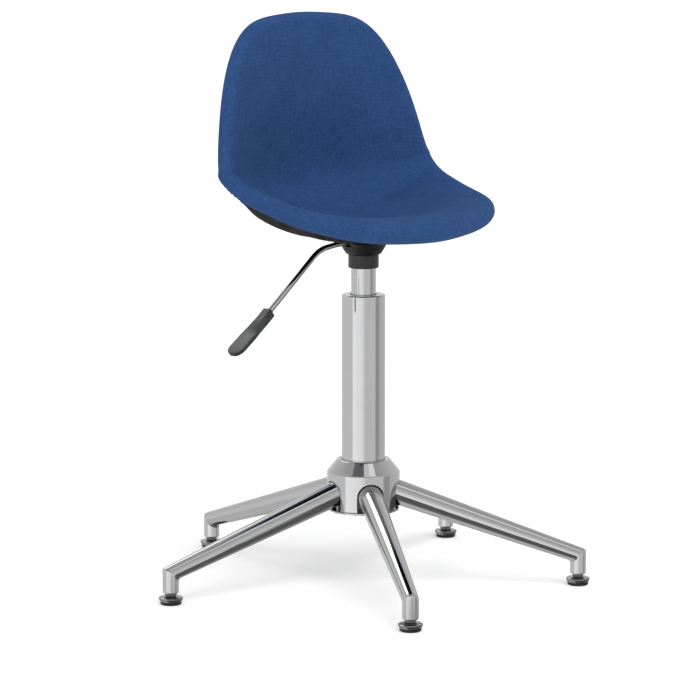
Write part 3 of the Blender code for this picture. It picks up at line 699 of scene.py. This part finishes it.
lever = {
    "radius": 0.0035,
    "inGrip": 0.0165,
    "path": ((0.003, 0.439), (-0.0175, 0.439), (-0.045, 0.4405), (-0.0825, 0.4362), (-0.1729, 0.3675)),
    "bend": 0.014,
    "gripLength": 0.081,
    "gripLift": 0.0035,
    "gripStraight": 0.018,
    "gripEase": (0.016, 0.047, 0.044),
    "gripHole": 0.0175,
    "socketWidth": 0.0124,
    "socketDepth": 0.0122,
    "paddleWidth": 0.024,
    "paddleDepth": 0.0055,
    "gripEdge": 0.0009,
}


# A round tube on a flat path: the path's points plus a circle that stands square to it
def makeLeverRod():
    path = np.array(lever["path"])
    path[-1] += unit(path[-1] - path[-2]) * lever["inGrip"]
    line = roundCorners(path, lever["bend"], 14)
    ahead = unit(np.gradient(line, axis=0))
    dome = np.array([1e-4, 0.45, 0.8, 0.97])
    bulge = np.sqrt(1 - dome**2) * lever["radius"] * 0.5
    size = np.concatenate([dome, np.ones(len(line)), dome[::-1]]) * lever["radius"]
    before = line[0] - ahead[0] * bulge[:, None] * 0.4
    beyond = line[-1] + ahead[-1] * bulge[::-1, None] * 0.4
    line = np.concatenate([before, line, beyond])
    ahead = np.concatenate([np.repeat(ahead[:1], 4, 0), ahead, np.repeat(ahead[-1:], 4, 0)])
    turn = wholeTurn(48)
    x = line[:, :1] - ahead[:, 1:] * size[:, None] * np.sin(turn)
    z = line[:, 1:] + ahead[:, :1] * size[:, None] * np.sin(turn)
    y = size[:, None] * np.cos(turn)
    grid = np.stack([x + axis[0], y + axis[1], z], axis=-1)
    addPiece("leverRod", makeMesh("leverRod", *gridSolid(grid)), "chrome", "lever", "lever_rod")


def easeIn(value, start, end):
    share = np.clip((value - start) / (end - start), 0, 1)
    return share * share * (3 - 2 * share)


# Rounded rectangles carried along the rod's line. The width and the depth ease from the square socket to the
# thin paddle, and the width closes on a half circle at the end.
def makeGrip():
    path = np.array(lever["path"])
    start = np.array([path[-1][0], 0, path[-1][1]])
    ahead = unit(np.array([path[-1][0] - path[-2][0], 0, path[-1][1] - path[-2][1]]))
    side = np.array([0, 1, 0])
    up = np.cross(ahead, side)
    length = lever["gripLength"]
    end = lever["paddleWidth"] / 2
    body = np.linspace(0.0012, length - end, 56)
    tip = length - end + end * np.sin(np.radians(np.linspace(6, 90, 16)))
    at = np.concatenate([[0, 0.0001, 0.0005], body, tip])
    begin, widthEnd, depthEnd = lever["gripEase"]
    width = lever["socketWidth"] + (lever["paddleWidth"] - lever["socketWidth"]) * easeIn(at, begin, widthEnd)
    depth = lever["socketDepth"] + (lever["paddleDepth"] - lever["socketDepth"]) * easeIn(at, begin, depthEnd)
    mouth = np.concatenate([[0.86, 0.93, 0.98], np.ones(len(at) - 3)])
    close = np.sqrt(np.clip(1 - np.clip((at - length + end) / end, 0, 1) ** 2, 0, 1))
    width *= mouth * np.maximum(close, 0.16)
    depth *= mouth * np.clip(close * 2.2, 0, 1) ** 0.5
    quarter = np.linspace(0, np.pi / 2, 9)
    quarter[[0, -1]] = 0.001, np.pi / 2 - 0.001
    turn = (quarter + np.array([[0], [1], [2], [3]]) * np.pi / 2).reshape(-1)
    # a quarter circle at each corner, so that the flats lie between neighbouring quarters
    corner = lever["gripEdge"]
    across = np.sign(np.cos(turn)) * (width[:, None] / 2 - corner) + np.cos(turn) * corner
    above = np.sign(np.sin(turn)) * (depth[:, None] / 2 - corner) + np.sin(turn) * corner
    straight = lever["gripStraight"]
    raised = -lever["gripLift"] * np.clip(at - straight, 0, None) / (length - straight)
    centre = start + at[:, None, None] * ahead + raised[:, None, None] * up
    grid = centre + across[..., None] * side + above[..., None] * up
    bore = lever["radius"] + 0.0003
    hole = lever["gripHole"]
    circle = np.cos(turn)[:, None] * side + np.sin(turn)[:, None] * up
    rings = ((hole, tiny), (hole, bore), (0.0006, bore), (0.0, bore + 0.0005))
    holes = [start + distance * ahead + size * circle for distance, size in rings]
    grid = np.concatenate([np.stack(holes), grid]) + np.array([*axis, 0])
    addPiece("leverGrip", makeMesh("leverGrip", *gridSolid(grid)), "grip", "lever", "lever_grip")


makeLeverRod()
makeGrip()
print("lever made", flush=True)


# Seat

# The shell's centre line runs from the front edge to the top of the backrest. The outline is a radius about
# the middle of the flat pattern, with angle 0 towards the front.
seat = {
    "centreY": (-0.137, -0.096, -0.050, -0.002, 0.045, 0.084, 0.115, 0.120, 0.107),
    "centreZ": (0.466, 0.468, 0.459, 0.454, 0.458, 0.472, 0.495, 0.595, 0.730),
    "middle": 0.206,
    "rimAngles": (0, 15, 30, 45, 60, 75, 90, 110, 130, 145, 160, 170, 180),
    "rimRadii": (0.204, 0.204, 0.213, 0.219, 0.202, 0.189, 0.19, 0.206, 0.237, 0.269, 0.2945, 0.2915, 0.2895),
    "riseAt": (0, 0.06, 0.14, 0.22, 0.29, 0.39, 0.49),
    "sideRise": (0.004, 0.036, 0.070, 0.076, 0.079, 0.058, 0.037),
    "risePower": 2.2,
    "riseWidth": 0.2,
    "riseChord": 0.05,
    "edgeAngles": (0, 45, 90, 130, 180),
    "lipDrop": (0.009, 0.009, 0.005, 0, 0),
    "lipStart": 0.72,
    "rimHalf": (0.015, 0.013, 0.010, 0.0095, 0.0105),
    "centreHalf": 0.0095,
    "fabric": 0.0015,
    "shellTop": -0.002,
    "shellBottom": -0.0055,
    "gap": 0.0006,
    "foamPast": 0.0045,
    "shellPast": 0.003,
    "seamInset": 0.008,
    "split": 0.004,
}
crease = {
    "x": (0, 0.046, 0.065, 0.093, 0.111, 0.132, 0.174, 0.20),
    "along": (0.212, 0.212, 0.208, 0.203, 0.198, 0.192, 0.195, 0.2),
    "depth": 3.2 * millimetre,
    "width": 10 * millimetre,
    "round": 1.6 * millimetre,
}
grids = {"columns": 360, "faceRows": 84, "rimRows": 26, "seamRows": 6, "innerRows": 30}


# Cubic spline through the stations, with no bend or, for flatEnds, no slope at its ends
def spline(stations, values, at, flatEnds=False):
    x = np.asarray(stations, float)
    y = np.asarray(values, float)
    step = np.diff(x)
    slope = np.diff(y) / step
    count = len(x)
    system = np.eye(count)
    target = np.zeros(count)
    inner = np.arange(1, count - 1)
    system[inner, inner - 1] = step[:-1]
    system[inner, inner] = 2 * (step[:-1] + step[1:])
    system[inner, inner + 1] = step[1:]
    target[inner] = 6 * np.diff(slope)
    if flatEnds:
        system[0, :2] = 2 * step[0], step[0]
        system[-1, -2:] = step[-1], 2 * step[-1]
        target[0] = 6 * slope[0]
        target[-1] = -6 * slope[-1]
    bend = np.linalg.solve(system, target)
    at = np.asarray(at, float)
    k = np.clip(np.searchsorted(x, at) - 1, 0, count - 2)
    after = at - x[k]
    before = x[k + 1] - at
    width = step[k]
    cubic = (bend[k] * before**3 + bend[k + 1] * after**3) / (6 * width)
    here = y[k] / width - bend[k] * width / 6
    following = y[k + 1] / width - bend[k + 1] * width / 6
    return cubic + here * before + following * after


centreAt = np.concatenate([[0], np.cumsum(np.hypot(np.diff(seat["centreY"]), np.diff(seat["centreZ"])))])


# Point (y, z) on the centre line, which runs straight on past both ends
def centreLine(along):
    inside = np.clip(along, 0, centreAt[-1])
    step = 0.0005
    near = np.clip(along, step, centreAt[-1] - step)
    point = []
    for values in (seat["centreY"], seat["centreZ"]):
        slope = (spline(centreAt, values, near + step) - spline(centreAt, values, near - step)) / (2 * step)
        point.append(spline(centreAt, values, inside) + (along - inside) * slope)
    return point


def byAngle(angles, values, theta):
    turn = np.abs((theta + np.pi) % (2 * np.pi) - np.pi)
    return spline(np.radians(angles), values, turn, flatEnds=True)


def rimRadius(theta):
    return byAngle(seat["rimAngles"], seat["rimRadii"], theta)


def rimHalf(theta):
    return byAngle(seat["edgeAngles"], seat["rimHalf"], theta)


# The flat pattern's (across, along) place of a share of the rim's radius at an angle
def flatPlace(share, theta):
    radius = rimRadius(theta) * share
    return radius * np.sin(theta), seat["middle"] - radius * np.cos(theta)


# The middle surface: the flat pattern bent along the centre line. Its sides rise with a power of the distance
# from the centre line, square to a chord of that line, and its edge turns down in front.
def middleSurface(share, theta):
    x, along = flatPlace(share, theta)
    y, z = centreLine(along)
    reach = seat["riseChord"]
    chordY, chordZ = np.subtract(centreLine(along + reach), centreLine(along - reach))
    length = np.hypot(chordY, chordZ)
    rise = spline(seat["riseAt"], seat["sideRise"], np.clip(along, 0, seat["riseAt"][-1]))
    rise = rise * (np.abs(x) / seat["riseWidth"]) ** seat["risePower"]
    outer = np.clip((share - seat["lipStart"]) / (1 - seat["lipStart"]), 0, None)
    rise = rise - byAngle(seat["edgeAngles"], seat["lipDrop"], theta) * outer**2
    y = axis[1] + y - rise * chordZ / length
    return np.stack([axis[0] + x, y, z + rise * chordY / length], axis=-1)


def seatNormal(share, theta):
    near = np.clip(share, 0.03, 0.985) + 0 * theta
    step = 0.002
    outward = middleSurface(near + step, theta) - middleSurface(near - step, theta)
    roundRim = middleSurface(near, theta + step) - middleSurface(near, theta - step)
    return unit(np.cross(outward, roundRim))


# Points at a level over the middle surface, positive on the sitter's side. The middle of the pattern is one
# point, so its copies take their mean.
def seatPoints(share, theta, level):
    share = share + 0 * theta
    points = middleSurface(share, theta) + seatNormal(share, theta) * (level + 0 * theta)[..., None]
    atMiddle = share < 1e-9
    if atMiddle.any():
        points[atMiddle] = points[atMiddle].mean(0)
    return points


# Half thickness of the seat, from its middle to where the round rim begins
def faceLevel(fraction, theta):
    return seat["centreHalf"] + (rimHalf(theta) - seat["centreHalf"]) * fraction**3


def rimStart(theta):
    return 1 - rimHalf(theta) / rimRadius(theta)


# How deep the fabric is drawn in along the fold between seat and backrest, fading out at the sides
def creaseDepth(share, theta):
    x, along = flatPlace(share, theta)
    line = spline(crease["x"], crease["along"], np.clip(np.abs(x), 0, 0.2))
    away = np.hypot(along - line, crease["round"]) - crease["round"]
    fade = 1 - easeIn(share / rimStart(theta), 0.84, 1.0)
    return crease["depth"] * np.exp(-away / crease["width"]) * fade


# Share and level of a grid's points: for the face (f from 0 to 1), for the half-round rim (angle from 90 down
# to -90 degrees) and for the part turned in behind (distance in from the rim)
def faceRows(f, theta, inset):
    return f[:, None] * rimStart(theta), faceLevel(f[:, None], theta) - inset


def rimRows(angles, theta, inset):
    size = rimHalf(theta) - inset
    bend = np.radians(angles)[:, None]
    return rimStart(theta) + size * np.cos(bend) / rimRadius(theta), size * np.sin(bend)


def seamRows(distances, theta, inset):
    distances = distances[:, None]
    return rimStart(theta) - distances / rimRadius(theta), inset - rimHalf(theta) + 0 * distances


# One layer of the fabric as (share, level) grids, from the middle of the sitter's side to the seam behind
def coverLayer(theta, inset, faces, rims, seams):
    parts = [
        faceRows(np.linspace(0, 1, faces), theta, inset),
        rimRows(np.linspace(90, -90, rims)[1:], theta, inset),
        seamRows(np.linspace(0, seat["seamInset"], seams)[1:], theta, inset),
    ]
    return [np.concatenate([part[k] for part in parts]) for k in (0, 1)]


# The padded fabric blown up a little over its foam. A coarse closed copy of the pad is simulated as cloth with
# pressure inside, held along the seam behind and sewn down along the crease. What comes back is how far each
# grid point moved out, capped.
pad = {"columns": 120, "faceRows": 34, "rimRows": 8, "frames": 20}
pad.update({"most": 2.2 * millimetre, "fade": (0.55, 0.95)})
clothSettings = {
    "quality": 5,
    "mass": 0.25,
    "tension_stiffness": 30,
    "compression_stiffness": 30,
    "bending_stiffness": 0.6,
    "vertex_group_mass": "held",
    "use_pressure": True,
    "uniform_pressure_force": 4.0,
}


def settleFabric():
    theta = wholeTurn(pad["columns"])
    faces = pad["faceRows"]
    share, level = coverLayer(theta, 0, faces, pad["rimRows"], 3)
    top = seatPoints(share, theta, level)
    underShare, underLevel = faceRows(np.linspace(0, 1, 12), theta, 0)
    under = seatPoints(underShare, theta, -underLevel)[::-1]
    grid = np.concatenate([top, under])
    mesh = makeMesh("padCloth", *gridSolid(grid))
    piece = placeInScene("padCloth", mesh)
    rest = meshPoints(mesh)
    number = mergedNumbers(rest, grid.reshape(-1, 3))
    held = np.zeros(grid.shape[:2], bool)
    held[faces + pad["rimRows"] // 2 :] = True
    held[:faces] = creaseDepth(share[:faces], theta) > 0.9 * millimetre
    group = piece.vertex_groups.new(name="held")
    group.add(np.unique(number[held.reshape(-1)]).tolist(), 1.0, "REPLACE")
    cloth = piece.modifiers.new("cloth", "CLOTH")
    for name, value in clothSettings.items():
        setattr(cloth.settings, name, value)
    cloth.settings.effector_weights.gravity = 0
    cloth.collision_settings.use_collision = False
    cloth.point_cache.frame_start = 1
    cloth.point_cache.frame_end = pad["frames"]
    for frameNumber in range(1, pad["frames"] + 1):
        bpy.context.scene.frame_set(frameNumber)
    moved = meshPoints(piece.evaluated_get(bpy.context.evaluated_depsgraph_get()).data)
    shift = (moved - rest)[number].reshape(grid.shape)[: len(share)]
    swell = np.clip((shift * seatNormal(share, theta)).sum(-1), 0, pad["most"])
    bpy.context.scene.frame_set(1)
    bpy.data.objects.remove(piece)
    print(f"fabric settled, {swell.max() / millimetre:.2f} mm at most", flush=True)
    return swell[:faces]


def meshPoints(mesh):
    points = np.empty(len(mesh.vertices) * 3, np.float32)
    mesh.vertices.foreach_get("co", points)
    return points.reshape(-1, 3).astype(float)


# For each point, the number of the mesh vertex that it was merged into
def mergedNumbers(vertices, points):
    keys = np.round(np.concatenate([vertices, points]) * 1e5).astype(int)
    kind = np.unique(keys, axis=0, return_inverse=True)[1].reshape(-1)
    number = np.zeros(kind.max() + 1, int)
    number[kind[: len(vertices)]] = np.arange(len(vertices))
    return number[kind[len(vertices) :]]


# Reads the coarse swelling at the fine grid's rows and columns, with a smooth fall to nothing at the rim
def swellAt(swell, f, theta):
    if swell is None:
        return 0
    rows = np.linspace(0, 1, len(swell))
    columns = np.linspace(0, 2 * np.pi, swell.shape[1] + 1)
    wrapped = np.concatenate([swell, swell[:, :1]], axis=1)
    wrapped[0] = wrapped[0].mean()
    byRow = np.stack([np.interp(f, rows, wrapped[:, k]) for k in range(len(columns))], axis=1)
    column = np.clip(theta / (2 * np.pi) * swell.shape[1], 0, swell.shape[1] - 1e-9)
    first = column.astype(int)
    share = column - first
    soft = byRow[:, first] * (1 - share) + byRow[:, first + 1] * share
    return soft * (1 - easeIn(f, *pad["fade"]))[:, None]


def makeFrontCover(swell):
    theta = wholeTurn(grids["columns"])
    faces = grids["faceRows"]
    share, level = coverLayer(theta, 0, faces, grids["rimRows"], grids["seamRows"])
    f = np.linspace(0, 1, faces)
    level[:faces] += swellAt(swell, f, theta) - creaseDepth(share[:faces], theta)
    outer = seatPoints(share, theta, level)
    flat = np.stack(flatPlace(share, theta), axis=-1)
    coarse = grids["innerRows"]
    innerShare, innerLevel = coverLayer(theta, seat["fabric"], coarse, 9, 3)
    innerLevel[:coarse] -= creaseDepth(innerShare[:coarse], theta)
    inner = seatPoints(innerShare, theta, innerLevel)
    # the map of the rim and of what is turned in goes on outwards by the length of the fabric
    edge = np.linalg.norm(np.diff(outer, axis=0), axis=-1)
    beyond = np.concatenate([np.zeros((faces, len(theta))), np.cumsum(edge[faces - 1 :], axis=0)])
    rim = unit(flat[faces - 1] - np.array([0, seat["middle"]]))
    flat = np.where(beyond[..., None] > 0, flat[faces - 1] + beyond[..., None] * rim, flat)
    grid = np.concatenate([outer, inner[::-1]])
    flat = np.concatenate([flat, np.stack(flatPlace(innerShare, theta), axis=-1)[::-1]])
    mesh = makeMesh("frontCover", *gridSolid(grid), flat, sharp=60)
    cover = addPiece("seatCover", mesh, "cover", "seat", "front_cover")


def makeFoam():
    theta = wholeTurn(144)
    inset = seat["fabric"] + seat["gap"]
    face = faceRows(np.linspace(0, 1, 40), theta, inset)
    rim = rimRows(np.linspace(90, -10, 10)[1:], theta, inset)
    share = np.concatenate([face[0], rim[0]])
    level = np.concatenate([face[1] - creaseDepth(face[0], theta) - 0.0002, rim[1]])
    top = seatPoints(share, theta, level)
    bottom = seat["shellTop"] + seat["gap"]
    reach = rimStart(theta) + seat["foamPast"] / rimRadius(theta)
    under = seatPoints(np.linspace(1, 0, 36)[:, None] * reach, theta, bottom)
    mesh = makeMesh("foam", *gridSolid(np.concatenate([top, under])))
    foam = addPiece("seatFoam", mesh, "foam", "seat", "foam_pad")


boss = {"circle": 0.034, "profile": ((0.0046, 0.4443), (0.0075, 0.4443), (0.0075, 0.4526), (0.0046, 0.4526))}


# The moulded shell, with a boss on the underside over each seat bolt
def makeShell():
    theta = wholeTurn(144)
    share = np.linspace(0, 1, 40)[:, None] * (rimStart(theta) + seat["shellPast"] / rimRadius(theta))
    top = seatPoints(share, theta, seat["shellTop"])
    bottom = seatPoints(share[::-1], theta, seat["shellBottom"])
    solids = [gridSolid(np.concatenate([top, bottom]))]
    profile = roundCorners(boss["profile"], 0.0004, 3, closed=True)
    for quarter in range(4):
        angle = math.radians(45 + 90 * quarter)
        place = (axis[0] + boss["circle"] * math.cos(angle), axis[1] + boss["circle"] * math.sin(angle))
        solids.append(gridSolid(turnedGrid(profile, place, 32), closeRows=True))
    addPiece("seatShell", makeMesh("shell", *joinSolids(solids)), "shell", "seat", "seat_shell")


# A closed sheet over half of the underside, from the middle out to the turned-in seam. Relief is how far each
# point of its outer face stands out.
def halfSheet(start, inner, outer, relief, rows=90, columns=200, hang=None):
    theta = np.radians(start) + np.linspace(seat["split"], np.pi - seat["split"], columns)
    outermost = 1 - (seat["seamInset"] + seat["gap"]) / (rimRadius(theta) * rimStart(theta))
    fraction = np.linspace(0, 1, rows)[:, None] * outermost
    share = fraction * rimStart(theta)
    level = -faceLevel(fraction, theta) - (hang(fraction) if hang else 0)
    middle = middleSurface(share, theta)
    normal = seatNormal(share, theta)
    face = middle + normal * (level + outer)[..., None]
    face = face - normal * relief(face, fraction / outermost)[..., None]
    back = middle + normal * (level + inner)[..., None]
    flat = np.stack(flatPlace(share, theta), axis=-1)
    first = gridFaces(rows, columns, False, False)
    count = rows * columns
    second = first[:, ::-1] + count
    # the edge goes round the grid's border once and joins the two faces
    number = np.arange(count).reshape(rows, columns)
    border = np.concatenate([number[0], number[1:, -1], number[-1, -2::-1], number[-2:0:-1, 0]])
    following = np.roll(border, -1)
    edge = np.stack([following, border, border + count, following + count], axis=1)
    points = np.concatenate([face.reshape(-1, 3), back.reshape(-1, 3)])
    return points, np.concatenate([first, second, edge]), np.concatenate([flat, flat])


def makeBackPanel():
    # the panel is drawn in along its border, where it is sewn to the cover's edge
    def relief(face, fraction):
        return 0.0006 * (1 - np.clip((fraction - 0.93) / 0.07, 0, 1) ** 2) - 0.0002

    points, faces, flat = halfSheet(90, seat["fabric"], 0.0, relief)
    mesh = makeMesh("backPanel", points, faces, flat, sharp=60)
    panel = addPiece("backPanel", mesh, "cover", "seat", "back_cover")


underCover = {
    "opening": 0.0425,
    "belly": 0.006,
    "ring": 0.0475,
    "ringWidth": 0.0035,
    "ringHeight": 0.0018,
    "ribs": 14,
    "ribWidth": 0.0016,
    "ribHeight": 0.0009,
    "ribReach": (0.052, 0.060, 0.105, 0.118),
    "beadAt": 0.95,
    "beadHeight": 0.0008,
    "screwAngles": (210, 330, 90),
    "screwCircle": 0.078,
    "screwRadius": 0.006,
    "screwDepth": 0.0009,
    "passage": 0.011,
    "passageDepth": 0.0006,
}


# The moulded cover under the seat: a raised ring round the bracket, ribs that run out from it, a bead along
# its border and three sunk screw places. Nothing stands out where the lever swings up.
def underRelief(face, fraction):
    x = face[..., 0] - axis[0]
    y = face[..., 1] - axis[1]
    distance = np.hypot(x, y)
    fromRing = (distance - underCover["ring"]) / underCover["ringWidth"]
    ring = underCover["ringHeight"] * np.exp(-(fromRing**2))
    halfTurns = underCover["ribs"] / 2
    beside = np.sin(np.arctan2(y, x) * halfTurns) * distance / halfTurns
    start, full, last, end = underCover["ribReach"]
    reach = easeIn(distance, start, full) * (1 - easeIn(distance, last, end))
    rib = underCover["ribHeight"] * np.exp(-((beside / underCover["ribWidth"]) ** 2)) * reach
    bead = underCover["beadHeight"] * np.exp(-(((fraction - underCover["beadAt"]) / 0.012) ** 2))
    turn = np.radians(underCover["screwAngles"])[:, None, None]
    circle = underCover["screwCircle"]
    away = np.hypot(x - circle * np.cos(turn), y - circle * np.sin(turn))
    sunk = np.exp(-((away / underCover["screwRadius"]) ** 4)).sum(0)
    passage = np.where(x < 0, np.exp(-((y / underCover["passage"]) ** 4)), 0)
    hollow = underCover["passageDepth"] * passage * (1 - easeIn(distance, 0.10, 0.12))
    return (ring + rib * (1 - sunk)) * (1 - passage) + bead - underCover["screwDepth"] * sunk - hollow


def underHang(fraction):
    return underCover["belly"] * np.sin(np.pi * np.clip((fraction - 0.3) / 0.68, 0, 1)) ** 2


def makeUnderCover():
    points, faces, flat = halfSheet(-90, 0.0021, 0.0002, underRelief, 110, 260, underHang)
    body = makeMesh("underCover", points, faces, None, 50)
    radius = underCover["opening"]
    opening = turnedGrid([(tiny, 0.43), (radius, 0.43), (radius, 0.47), (tiny, 0.47)], segments=128)
    mesh = cutMesh(body, [makeMesh("opening", *gridSolid(opening))], 40)
    addPiece("underCover", mesh, "underCover", "seat", "under_cover")


# Stitches along the seam behind: short rounded bars in a row, each a bent tube that dips into the fabric at
# both ends
stitch = {
    "pitch": 6.0 * millimetre,
    "length": 4.2 * millimetre,
    "radius": 0.42 * millimetre,
    "inset": 4.6 * millimetre,
    "points": 6,
}


def makeStitches():
    fine = np.linspace(0, 2 * np.pi, 2000)
    inset = np.array([stitch["inset"]])
    share, level = seamRows(inset, fine, 0)
    line = seatPoints(share[0], fine, level[0])
    at = np.concatenate([[0], np.cumsum(np.linalg.norm(np.diff(line, axis=0), axis=1))])
    count = int(at[-1] / stitch["pitch"])
    number = stitch["points"]
    body = np.linspace(-0.5, 0.5, number)
    spots = (np.arange(count) * at[-1] / count)[:, None] + body * stitch["length"]
    theta = np.interp(spots % at[-1], at, fine).reshape(-1)
    share, level = seamRows(inset, theta, 0)
    dip = (0.0003 - 0.0011 * (2 * body) ** 4 + 0 * spots).reshape(-1)
    middle = seatPoints(share[0], theta, level[0] - dip).reshape(count, number, 3)
    down = -seatNormal(share[0], theta).reshape(count, number, 3)
    side = np.cross(unit(np.gradient(middle, axis=1)), down)
    turn = wholeTurn(number)[:, None]
    size = stitch["radius"] * np.sqrt(np.clip(1 - (2 * body) ** 6, 0, 1))[:, None, None]
    tube = middle[:, :, None] + size * (np.cos(turn) * side[:, :, None] + np.sin(turn) * down[:, :, None])
    faces = gridFaces(number, number, False, True)
    faces = (faces + (np.arange(count) * number**2)[:, None, None]).reshape(-1, 4)
    mesh = makeMesh("stitches", tube.reshape(-1, 3), faces)
    addPiece("seamStitches", mesh, "thread", "seat", "front_cover", replaces=False)


swell = settleFabric()
makeFrontCover(swell)
makeFoam()
makeShell()
makeBackPanel()
makeUnderCover()
makeStitches()
print("seat made", flush=True)


# The CAD pieces that stay get the finish of what they are made of
nylonNodes = ("guide_bushing", "piston", "cylinder_gland")
for name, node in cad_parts.items():
    for slot in node.material_slots:
        slot.material = finishes["nylon" if name in nylonNodes else "steel"]


# Studio

studio = {
    "cameraWay": (-0.7414, -0.6711),
    "cameraDistance": 3.806,
    "cameraHeight": 0.903,
    "cameraTilt": 9.01,
    "cameraTurn": -47.59,
    "lens": 155.0,
    "floorSize": 60.0,
    "floorShade": 0.9,
    "floorGlow": 0.18,
    "sun": 1.55,
    "sunWidth": 55,
    "sunWay": (-0.34, -0.87, 1.6),
}


def makeCamera():
    data = bpy.data.cameras.new("camera")
    data.lens = studio["lens"]
    data.sensor_width = 36
    data.clip_end = 200
    camera = placeInScene("camera", data)
    distance = studio["cameraDistance"]
    way = studio["cameraWay"]
    camera.location = (axis[0] + distance * way[0], axis[1] + distance * way[1], studio["cameraHeight"])
    camera.rotation_euler = (math.radians(90 - studio["cameraTilt"]), 0, math.radians(studio["cameraTurn"]))
    bpy.context.scene.camera = camera


def makeFloor():
    size = studio["floorSize"]
    mesh = bpy.data.meshes.new("floor")
    corners = [(-size, -size, 0), (size, -size, 0), (size, size, 0), (-size, size, 0)]
    mesh.from_pydata(corners, [], [(0, 1, 2, 3)])
    floor = placeInScene("floor", mesh)
    finish = Finish("palePaint")
    cloud = finish.noise(finish.place, 0.9, 2.0)
    shade = studio["floorShade"]
    finish.set(
        Base_Color=finish.mix(cloud, [shade] * 3, [shade + 0.01] * 3),
        Roughness=0.9,
        Specular_IOR_Level=0.0,
        Emission_Color=(1, 1, 1),
        Emission_Strength=studio["floorGlow"],
    )
    mesh.materials.append(finish.material)
    floor.visible_glossy = False


# What the polished parts mirror: walls and ground by azimuth and a ceiling by height, as stops of (place,
# brightness), and over them bright and dark cards, by azimuth from the camera's side
walls = ((0.0, 0.82), (0.17, 0.92), (0.33, 0.95), (0.345, 1.5), (0.48, 1.32), (0.53, 0.9), (0.68, 0.9))
walls += ((0.69, 0.5), (0.75, 0.5), (0.76, 0.74), (1.0, 0.8))
ground = ((0.0, 0.6), (0.2, 0.8), (0.35, 0.75), (0.42, 0.16), (0.78, 0.16), (0.88, 0.45), (1.0, 0.55))
ceiling = ((0.2, 0.86), (0.62, 0.72), (0.8, 0.57), (1.0, 0.57))
lamps = (
    {"azimuth": -146, "elevation": 46, "wide": 9, "high": 11, "light": 3.0},
    {"azimuth": -175, "elevation": 47, "wide": 8, "high": 12, "light": 0.05},
    {"azimuth": 40, "elevation": 63.5, "wide": 11, "high": 4.5, "light": 1.25},
    {"azimuth": 20, "elevation": 65, "wide": 6, "high": 7, "light": 0.95},
    {"azimuth": -30, "elevation": 62, "wide": 13, "high": 8, "light": 0.2},
)


# A rectangle in the sky: 1 inside and 0 outside, with a narrow soft border
def lampMask(graph, x, y, z, lamp):
    turn = math.radians(lamp["azimuth"]) + math.atan2(studio["cameraWay"][1], studio["cameraWay"][0])
    rise = math.radians(lamp["elevation"])
    ahead = (math.cos(rise) * math.cos(turn), math.cos(rise) * math.sin(turn), math.sin(rise))
    side = (-math.sin(turn), math.cos(turn), 0)
    up = (-math.sin(rise) * math.cos(turn), -math.sin(rise) * math.sin(turn), math.cos(rise))
    depth = (x * ahead[0] + y * ahead[1] + z * ahead[2]).maths("MAXIMUM", 0.001)
    across = abs((x * side[0] + y * side[1]) / depth)
    above = abs((x * up[0] + y * up[1] + z * up[2]) / depth)
    wide = math.tan(math.radians(lamp["wide"]))
    high = math.tan(math.radians(lamp["high"]))
    return (1 - across.rise(wide * 0.93, wide * 1.07)) * (1 - above.rise(high * 0.93, high * 1.07))


def makeWorld():
    world = bpy.data.worlds.new("studio")
    world.use_nodes = True
    bpy.context.scene.world = world
    graph = Graph(world.node_tree)
    x, y, z = graph.split(graph.add("ShaderNodeTexCoord", None, None, "Generated"))
    wayX, wayY = studio["cameraWay"]
    toCamera = x * wayX + y * wayY
    toRight = y * wayX - x * wayY
    azimuth = toRight.maths("ARCTAN2", toCamera) / (2 * math.pi) + 0.5
    wall = graph.add("ShaderNodeValToRGB", {"stops": walls}, {0: azimuth})
    low = graph.add("ShaderNodeValToRGB", {"stops": ground}, {0: azimuth})
    overhead = graph.add("ShaderNodeValToRGB", {"stops": ceiling}, {0: z})
    colour = graph.mix(z.rise(0.15, 0.45), graph.mix((z * -1).rise(0.225, 0.275), wall, low), overhead)
    for lamp in lamps:
        colour = graph.mix(lampMask(graph, x, y, z, lamp), colour, [lamp["light"]] * 3)
    graph.plug(world.node_tree.nodes["Background"].inputs["Color"], colour)


def makeLights():
    data = bpy.data.lights.new("keyLight", "SUN")
    data.energy = studio["sun"]
    data.angle = math.radians(studio["sunWidth"])
    key = placeInScene("keyLight", data)
    key.rotation_euler = Vector(studio["sunWay"]).to_track_quat("Z", "Y").to_euler()
    key.visible_glossy = False


makeCamera()
makeFloor()
makeWorld()
makeLights()
bpy.context.scene.view_settings.view_transform = "Standard"
